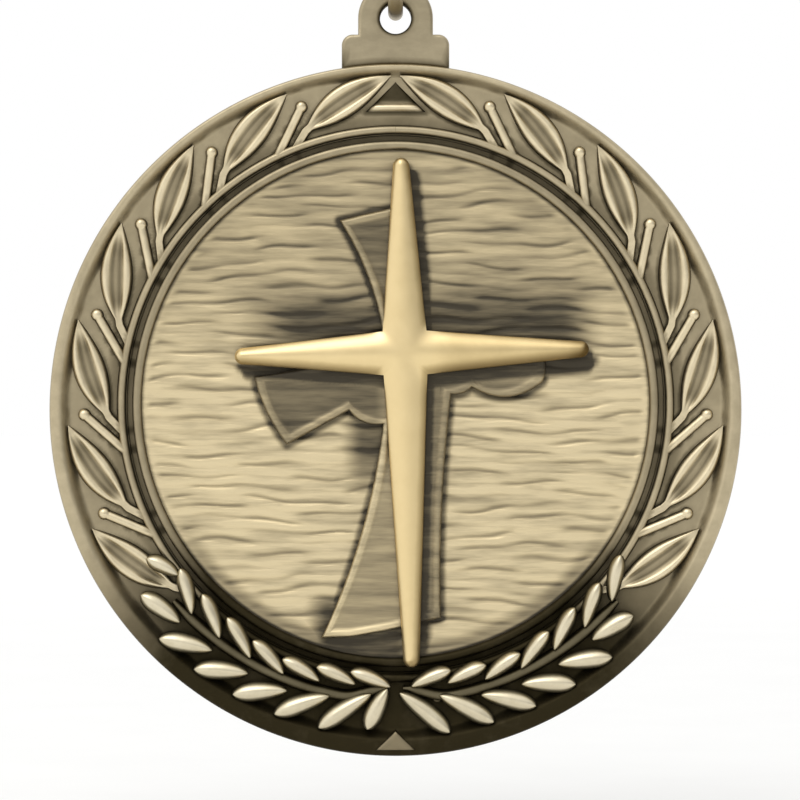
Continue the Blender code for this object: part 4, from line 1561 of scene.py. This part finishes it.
@dataclass
class FieldDisc:
    """Dished disc with a grain of broken, wavy level lines.

    Attributes:
        shop: zones and effects.
        cross: bright cross that the tone gathers round and whose painted shadow falls on the field.
        flared: flared cross that the tone gathers round.
        pitch: from one line to the next.
        depth: depth of the lines.
        line_w: half width of a line, as a share of the pitch.
        ripple: height of the ripples between the lines.
        rows: rows of points up the disc.
        columns: points along a row.
    """

    shop: Workshop
    cross: BrightCross
    flared: FlaredCross
    pitch: float = 0.86
    depth: float = 0.1
    line_w: float = 0.62
    ripple: float = 0.02
    rows: int = 350
    columns: int = 261

    def lines(self, right: Array, up: Array) -> Array:
        """Depth of the grain from 0 to 1.

        The lines lie where a sine of the bent height is 0, each a narrow bell, and each fades in and out
        along its length by sines whose phase goes with the line's number.

        Args:
            right: places on the face.
            up: places on the face.

        Returns:
            The depths.
        """
        bend = (0.30 * np.sin(0.21 * right + 0.55 * up) + 0.17 * np.sin(0.53 * right - 0.47 * up + 1.3)
                + 0.07 * np.sin(1.4 * right + 0.9 * up + 0.4))
        turn = (up + bend) / self.pitch
        number = np.round(turn)
        bell = np.exp(-(np.sin(pi * (turn - number)) / self.line_w) ** 2)
        fade = np.sin(0.58 * right + 2.4 * number) + 0.7 * np.sin(1.05 * right + 4.1 * number + 1.0)
        return bell * (0.15 + 0.85 * ramp(fade, -0.9, 0.9))

    def surface(self) -> Shell:
        """Level rows of points across the disc, each as wide as its chord, over the dish, less the grain.

        The underside is one quad a row between the same row ends.

        Returns:
            The disc.
        """
        face = self.shop.face
        rows_up = np.linspace(-face.field_r, face.field_r, self.rows)
        half_chords = np.sqrt(np.maximum(face.field_r ** 2 - rows_up ** 2, 0.0))
        right = half_chords[:, None] * np.linspace(-1, 1, self.columns)
        spots = np.stack(np.broadcast_arrays(right, rows_up[:, None]), axis=-1)
        inside = 1 - ramp(np.linalg.norm(spots, axis=-1), face.field_r - 0.9, face.field_r - 0.2)
        across, up = spots[..., 0], spots[..., 1]
        ripples = self.ripple * np.sin(2 * pi * up / 1.7 + 0.5 * np.sin(0.6 * across + up) + 0.25 * across)
        grain = inside * (ripples - self.depth * self.lines(across, up))
        top = lifted(spots, face.field_floor(spots) + grain)
        return Shell.grid(np.concatenate([top, lifted(spots[:, [-1, 0]], face.field_under)], axis=1))

    def hollow(self, right: Array, up: Array, height: Array) -> Array:
        """Tone in the grain and round the bright cross, most above its side arms, with the cross's painted
        shadow, painted shade on the lower edge and painted shade that darkens the field towards the top.

        Args:
            right: places on the face.
            up: places on the face.
            height: heights above the back; not used.

        Returns:
            The tone, with painted shade and shadow.
        """
        face = self.shop.face
        radius = np.hypot(right, up)
        across, above = self.cross.in_own_frame(right, up)
        _, arm_right, _, arm_left = self.cross.arms()
        over_left = ramp(across, -arm_left - 0.5, -arm_left + 5) * (1 - ramp(across, -1.0, 1.0))
        over_right = ramp(-across, -arm_right - 1.5, -arm_right + 2) * ramp(across, 0.0, 1.5)
        over = (over_left + over_right) * ramp(above, -0.5, 0.8) * (1 - ramp(above, 2.0, 6.2))
        beside_leg = (1 - ramp(np.abs(across + 2.2), 1.0, 2.8)) * ramp(-above, 2.0, 4.0)
        corner = beside_leg * (1 - ramp(-above, 7.0, 11.5))
        below_foot = ramp(-up, 13.5, 15.5) * (1 - ramp(np.abs(right + 2.5), 2.4, 4.4))
        outline = lifted(self.flared.outline(0.0, 4), 0.0)
        beside = 1 - ramp(gap_to(outline, right, up), 0.12, 0.55)
        # Painted shade on the field's lower edge.
        lower_edge_shade = (ramp(from_top(right, up), 115.0, 135.0)
                      * ramp(radius, face.lip_r - 1.5, face.lip_r - 0.4))
        edge = 0.6 * ramp(radius, face.lip_r - 0.25, face.lip_r + 0.02)
        grain = 0.5 * self.lines(right, up) * (1 - ramp(radius, face.field_r - 0.9, face.field_r - 0.3))
        zone = np.maximum.reduce([0.68 * over, 0.68 * corner, 0.85 * below_foot, 0.7 * beside,
                                  0.5 * lower_edge_shade, 0.9 * self.cross.shadow(right, up)])
        # The ramp on up darkens the field towards the top: painted shade of a dish lit from above.
        return 0.08 + grain * (1 - 0.4 * zone) + zone + 0.26 * ramp(up, 0.0, 11.0) + edge

    def build(self) -> None:
        """Make and dress the field."""
        self.shop.add_piece("field_disc", [self.surface()], GRAINED, self.hollow)


@dataclass
class BezelRing:
    """Beaded ring round the field, with a lip over its edge.

    Attributes:
        shop: zones and effects.
        steps: points round the ring.
    """

    shop: Workshop
    steps: int = 480

    def surface(self) -> Shell:
        """Closed profile: half-ellipse bead from the lip to the edge, outer side, underside, inner wall.

        Returns:
            The ring.
        """
        face = self.shop.face
        lip_h = face.field_edge_h + 0.04
        around = np.linspace(0, pi, 21)
        half_w = (face.bezel_r - face.lip_r) / 2
        bead_r = face.lip_r + half_w - half_w * np.cos(around)
        bead_h = lip_h + (face.bezel_top_h - lip_h) * np.sin(around) ** 0.8
        wall_r = face.field_r + face.bezel_fit
        radii = np.r_[bead_r, face.bezel_r, wall_r, wall_r]
        heights = np.r_[bead_h, face.field_under, face.field_under, lip_h]
        return Shell.turned(radii, heights, self.steps, ring=True)

    def hollow(self, right: Array, up: Array, height: Array) -> Array:
        """Tone low on both sides of the bead, and painted shade at the bottom, under the sprays.

        Args:
            right: places on the face.
            up: places on the face.
            height: heights above the back.

        Returns:
            The tone, with painted shade.
        """
        top = self.shop.face.bezel_top_h
        # Painted shade at the bottom, under the sprays.
        bottom = ramp(from_top(right, up), 112.0, 138.0)
        return 0.4 + 0.6 * (1 - ramp(height, top - 0.34, top - 0.05)) + 0.62 * bottom

    def build(self) -> None:
        """Make and dress the bezel."""
        self.shop.add_piece("bezel_ring", [self.surface()], ANTIQUE, self.hollow)


@dataclass(frozen=True)
class LeafletRow:
    """Row of leaflets on one side of a spray's stem.

    Attributes:
        count: leaflets in the row.
        past_root: degrees from the stem's root to the first.
        before_tip: degrees from the last to the stem's tip.
        half_w: half width of a leaflet.
    """

    count: int
    past_root: float
    before_tip: float
    half_w: float


@dataclass
class LaurelSpray:
    """Laurel spray over the lower border.

    Attributes:
        shop: zones and effects.
        side: half of the face that it lies on.
        outer: leaflets on the rim's side.
        inner: leaflets on the bezel's side.
        end_leaflets: has a short leaflet at the root and one at the tip.
        stem_r: radius of the stem's middle.
        stem_half_w: half the stem's width.
        stem_t: how far the stem stands above the leaflets' underside.
        root: angle of the stem's root, in degrees from the top.
        tip: angle of the stem's tip.
        sweep: degrees that a leaflet leans forward.
        root_drop: how far the stem bends in to its root.
        outer_base_out: from the stem's middle to the outer leaflets' base.
        outer_base_drop: how much further in that base lies at the root.
        outer_tip_gap: from an outer leaflet's tip to the rim.
        outer_end_drop: how far the last outer leaflet leans in.
        inner_base_in: from the stem's middle to the inner leaflets' base.
        inner_base_drop: how much further in the base lies near the root.
        inner_tip_out: from the recess's wall to an inner leaflet's tip.
        inner_tip_lift: how much further out the tips lie about the row's middle.
        leaflet_t: thickness of a leaflet.
        widest_at: where a leaflet is widest, as a share of its length.
        bow: swell of a leaflet's middle line to the rim.
        root_leaflet_out: from the stem's middle to the tip of the leaflet at the root.
        root_leaflet_sweep: degrees that this leaflet leans forward.
        tip_leaflet_in: from the stem's middle in to the base and to the tip of the leaflet at the tip.
        tip_leaflet_back: degrees from the last inner tip back to this leaflet's base.
        tip_leaflet_sweep: degrees from the last inner tip on to this leaflet's tip.
    """

    shop: Workshop
    side: Side
    outer: LeafletRow
    inner: LeafletRow
    end_leaflets: bool
    stem_r: float = 21.75
    stem_half_w: float = 0.45
    stem_t: float = 0.17
    root: float = 178.42
    tip: float = 131.63
    sweep: float = 8.6
    root_drop: float = 0.9
    outer_base_out: float = 0.75
    outer_base_drop: float = 1.35
    outer_tip_gap: float = 0.05
    outer_end_drop: float = 1.1
    inner_base_in: float = 0.3
    inner_base_drop: float = 0.7
    inner_tip_out: float = 0.1
    inner_tip_lift: float = 0.6
    leaflet_t: float = 0.62
    widest_at: float = 0.65
    bow: float = 0.1
    root_leaflet_out: float = 2.2
    root_leaflet_sweep: float = 3.4
    tip_leaflet_in: tuple[float, float] = (1.5, 0.3)
    tip_leaflet_back: float = 1.0
    tip_leaflet_sweep: float = 5.5

    @property
    def name(self) -> str:
        """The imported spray's name."""
        return self.side.name.lower() + "_laurel_spray"

    @property
    def under_h(self) -> float:
        """Height of the leaflets' underside."""
        return self.shop.face.box(self.name)[1][2] - self.leaflet_t

    def bend(self, angle: Array) -> Array:
        """How far the stem has bent in at an angle."""
        return self.root_drop * ramp(angle, self.root - 9.0, self.root)

    def outer_reach(self, angle: Array) -> tuple[Array, Array]:
        """Radii of the outer leaflets' bases and tips; the last one leans in.

        Args:
            angle: angles of the bases, from the root on.

        Returns:
            Base radii and tip radii.
        """
        tips = np.full(len(angle), self.shop.face.rim_inner_r - self.outer_tip_gap)
        tips[-1] -= self.outer_end_drop
        drop = self.outer_base_drop * ramp(angle, self.root - 22.0, self.root + 2.0)
        return self.stem_r + self.outer_base_out - drop, tips

    def inner_reach(self, angle: Array) -> tuple[Array, Array]:
        """Radii of the inner leaflets' bases and tips; the tips lie further out by a bell over the row.

        Args:
            angle: angles of the bases, from the root on.

        Returns:
            Base radii and tip radii.
        """
        drop = self.inner_base_drop * ramp(angle, self.root - 23.0, self.root - 6.0)
        lift = self.inner_tip_lift * np.exp(-((angle - self.root + 15.0) / 9.0) ** 2)
        return self.stem_r - self.inner_base_in - drop, self.shop.face.recess_r + self.inner_tip_out + lift

    def stem(self) -> Shell:
        """Rounded bar from the border's floor to above the leaflets' underside, thinner to both ends.

        Returns:
            The stem.
        """
        angles = np.linspace(self.root, self.tip, 64)
        path = polar(self.stem_r - self.bend(angles), angles, self.side.value)
        low, _ = self.shop.face.box(self.name)
        around = np.linspace(0, pi, 13)
        crown = (self.under_h + self.stem_t - low[2]) * np.sin(around) ** 0.5
        shares, rises = bedded(-np.cos(around), np.tile(crown, (len(path), 1)))
        half_widths = self.stem_half_w * (1 - 0.6 * ramp(angles, self.root - 3, self.root))
        half_widths *= ramp(angles, self.tip - 6, self.tip + 6)
        return Shell.swept(relief(path, half_widths, shares, rises, level(low[2])))

    def leaflet(self, base: Array, tip: Array, half_w: float) -> Shell:
        """Plump leaflet from its base to its tip on a path that swells to the rim.

        The half width is a long quarter ellipse from the base and a short one to the tip, and the section
        is a parabola above with a shallow belly below.

        Args:
            base: where it starts.
            tip: where it ends.
            half_w: half its width.

        Returns:
            The leaflet.
        """
        onward = (1 - np.cos(np.linspace(0.03, pi - 0.03, 30))) / 2
        path = bowed(base, tip, self.bow * self.side.value, onward)
        base_round = np.sqrt(1 - np.clip(1 - onward / self.widest_at, 0, 1) ** 2)
        tip_round = np.sqrt(1 - np.clip((onward - self.widest_at) / (1 - self.widest_at), 0, 1) ** 2)
        fullness = base_round * tip_round
        around = np.linspace(0, 2 * pi, 24, endpoint=False)
        crest = self.leaflet_t * (0.4 + 0.6 * fullness)[:, None]
        rises = np.where(np.sin(around) > 0, crest * np.sin(around) ** 2, 0.16 * np.sin(around))
        return Shell.swept(relief(path, half_w * fullness, np.cos(around), rises, level(self.under_h)))

    def angles(self, row: LeafletRow) -> Array:
        """Angles of a row's bases, evenly spaced from the root on."""
        return np.linspace(self.root - row.past_root, self.tip + row.before_tip, row.count)

    def leaflets(self, row: LeafletRow, reach: Callable[[Array], tuple[Array, Array]]) -> list[Shell]:
        """Leaflets of a row.

        Args:
            row: the row.
            reach: gives the radii of their bases and of their tips, from the angles of their bases.

        Returns:
            The leaflets.
        """
        side = self.side.value
        angles = self.angles(row)
        return [self.leaflet(polar(base_r, angle, side), polar(tip_r, angle - self.sweep, side), row.half_w)
                for angle, base_r, tip_r in zip(angles, *reach(angles))]

    def surfaces(self) -> list[Shell]:
        """Stem and all leaflets.

        Returns:
            The surfaces.
        """
        shells = [self.stem()]
        shells += self.leaflets(self.outer, self.outer_reach)
        shells += self.leaflets(self.inner, self.inner_reach)
        if self.end_leaflets:
            shells += self.ends()
        return shells

    def ends(self) -> list[Shell]:
        """Short leaflet at the root, and one at the tip that starts beside the last inner leaflet's tip.

        Returns:
            The two leaflets.
        """
        side = self.side.value
        root_base = polar(self.stem_r - self.root_drop, self.root, side)
        root_tip = polar(self.stem_r + self.root_leaflet_out, self.root - self.root_leaflet_sweep, side)
        end = self.tip + self.inner.before_tip - self.sweep
        base_in, tip_in = self.tip_leaflet_in
        tip_base = polar(self.stem_r - base_in, end + self.tip_leaflet_back, side)
        tip_tip = polar(self.stem_r - tip_in, end - self.tip_leaflet_sweep, side)
        return [self.leaflet(root_base, root_tip, self.outer.half_w),
                self.leaflet(tip_base, tip_tip, self.inner.half_w)]

    def hollow(self, right: Array, up: Array, height: Array) -> Array:
        """Tone between the leaflets, and painted shade on their flanks, so that only their crests are bright.
        """
        # Painted shade: the leaflets darken from their crests down their flanks.
        return 1 - ramp(height, self.under_h + 0.02, self.under_h + 0.5)

    def build(self) -> None:
        """Make and dress the spray."""
        self.shop.add_piece(self.name, self.surfaces(), PALE, self.hollow)


@dataclass
class Studio:
    """Pale floor, soft light and the camera.

    Attributes:
        face: zones of the medal.
        lens: focal length, on a sensor of sensor_w.
        sensor_w: width of the sensor.
        view_w: width of the picture at the medal's face.
        aim: picture's middle: right, up and height.
        floor_drop: from the design's centre to the floor.
        floor_w: width of the floor.
        lamp_w: width of the overhead lamp.
        lamp_level: brightness of the lamp's face, where white is 1.
        lamp_offset: from the design's centre to the lamp, along X, Y and Z.
        light_side: direction in which the room before the medal is lightest.
        low_level: brightness of the room's dark side, where white is 1.
        high_level: brightness of its light side.
    """

    face: Face
    lens: float = 150.0
    sensor_w: float = 36.0
    view_w: float = 58.72
    aim: Triple = (0.33, 0.28, 2.4)
    floor_drop: float = 34.0
    floor_w: float = 6000.0
    lamp_w: float = 260.0
    lamp_level: float = 1.9
    lamp_offset: Triple = (-110.0, -250.0, 330.0)
    light_side: Triple = (-0.5, 0.0, 0.8)
    low_level: float = 0.35
    high_level: float = 1.1

    def add_camera(self) -> None:
        """Camera straight before the face, as far off as the view's width asks."""
        data = bpy.data.cameras.new("camera")
        data.lens = self.lens
        data.sensor_width = self.sensor_w
        camera = bpy.data.objects.new("camera", data)
        bpy.context.scene.collection.objects.link(camera)
        spot = Vector(self.face.to_model(np.array([self.aim]))[0])
        camera.location = spot - Vector((0.0, self.view_w * self.lens / self.sensor_w * MM, 0.0))
        camera.rotation_euler = (pi / 2, 0.0, 0.0)
        bpy.context.scene.camera = camera

    def add_floor(self) -> None:
        """Level floor in pale, faintly mottled paint that runs out to white."""
        half = self.floor_w / 2 * MM
        height = self.face.centre_z - self.floor_drop * MM
        mesh = bpy.data.meshes.new("floor")
        corners = [(-half, -half, height), (half, -half, height), (half, half, height), (-half, half, height)]
        mesh.from_pydata(corners, [], [(0, 1, 2, 3)])
        paint = bpy.data.materials.new("pale_floor")
        paint.use_nodes = True
        tree = paint.node_tree
        place = add_node(tree, "ShaderNodeTexCoord", {}).outputs["Object"]
        mottle = add_mix(tree, add_noise(tree, place, (60.0, 60.0, 60.0), 2.0),
                         (0.88, 0.88, 0.87, 1.0), (0.92, 0.92, 0.91, 1.0))
        distance = add_node(tree, "ShaderNodeVectorMath", {0: place}, operation="LENGTH").outputs["Value"]
        far = add_node(tree, "ShaderNodeMapRange", {"Value": distance, "From Min": 0.08, "From Max": 0.5})
        shader = tree.nodes["Principled BSDF"]
        colour = add_mix(tree, far.outputs[0], mottle, (1.0, 1.0, 1.0, 1.0))
        tree.links.new(colour, shader.inputs["Base Color"])
        shader.inputs["Roughness"].default_value = 0.8
        shader.inputs["Specular IOR Level"].default_value = 0.0
        mesh.materials.append(paint)
        floor = bpy.data.objects.new("floor", mesh)
        bpy.context.scene.collection.objects.link(floor)

    def light_world(self) -> None:
        """White surroundings behind the medal, and a room before it that is lighter at the upper left."""
        world = bpy.data.worlds.new("studio")
        world.use_nodes = True
        tree = world.node_tree
        toward = add_node(tree, "ShaderNodeTexCoord", {}).outputs["Generated"]
        facing = add_node(tree, "ShaderNodeVectorMath", {0: toward, 1: self.light_side},
                          operation="DOT_PRODUCT")
        room = add_node(tree, "ShaderNodeMapRange", {
            "Value": facing.outputs["Value"], "From Min": -0.4, "From Max": 0.5,
            "To Min": self.low_level, "To Max": self.high_level}).outputs[0]
        depth = add_node(tree, "ShaderNodeSeparateXYZ", {0: toward}).outputs["Y"]
        behind = add_node(tree, "ShaderNodeMapRange", {
            "Value": depth, "From Min": -0.1, "From Max": 0.3}).outputs[0]
        grey = add_node(tree, "ShaderNodeCombineColor", {index: room for index in range(3)}).outputs[0]
        colour = add_mix(tree, behind, grey, (1.0, 1.0, 1.0, 1.0))
        tree.links.new(colour, tree.nodes["Background"].inputs["Color"])
        bpy.context.scene.world = world

    def add_lamp(self) -> None:
        """Soft square lamp above and before the medal, turned to its face."""
        data = bpy.data.lights.new("overhead", "AREA")
        data.size = self.lamp_w * MM
        data.energy = self.lamp_level * pi * data.size ** 2
        lamp = bpy.data.objects.new("overhead", data)
        bpy.context.scene.collection.objects.link(lamp)
        aim = Vector((0.0, 0.0, self.face.centre_z))
        lamp.location = aim + Vector(self.lamp_offset) * MM
        lamp.rotation_euler = (aim - lamp.location).to_track_quat("-Z", "Y").to_euler()

    def build(self) -> None:
        """Set up the whole studio."""
        bpy.context.scene.view_settings.view_transform = "Standard"
        self.add_camera()
        self.add_floor()
        self.light_world()
        self.add_lamp()


def main() -> None:
    """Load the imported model, build every sub-assembly on it and light it."""
    logging.basicConfig(level=logging.INFO, format="%(message)s")
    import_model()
    face = Face.measured()
    Studio(face).build()
    shop = Workshop(face, EffectGroups())
    rivets = Rivets(shop)
    wreath = BorderWreath(shop)
    cross = BrightCross(shop)
    flared = FlaredCross(shop, cross)
    assemblies = (
        SplitRing(shop),
        SuspensionLug(shop),
        StruckBody(shop, rivets, wreath),
        FieldDisc(shop, cross, flared),
        BezelRing(shop),
        flared,
        cross,
        wreath,
        LaurelSpray(shop, Side.LEFT,
                    outer=LeafletRow(count=6, past_root=3.2, before_tip=3.8, half_w=0.75),
                    inner=LeafletRow(count=7, past_root=-0.6, before_tip=4.3, half_w=0.62),
                    end_leaflets=True),
        LaurelSpray(shop, Side.RIGHT,
                    outer=LeafletRow(count=6, past_root=-0.8, before_tip=8.6, half_w=0.75),
                    inner=LeafletRow(count=7, past_root=1.6, before_tip=0.8, half_w=0.62),
                    end_leaflets=False),
        rivets,
    )
    for assembly in assemblies:
        assembly.build()


if __name__ == "__main__":
    main()
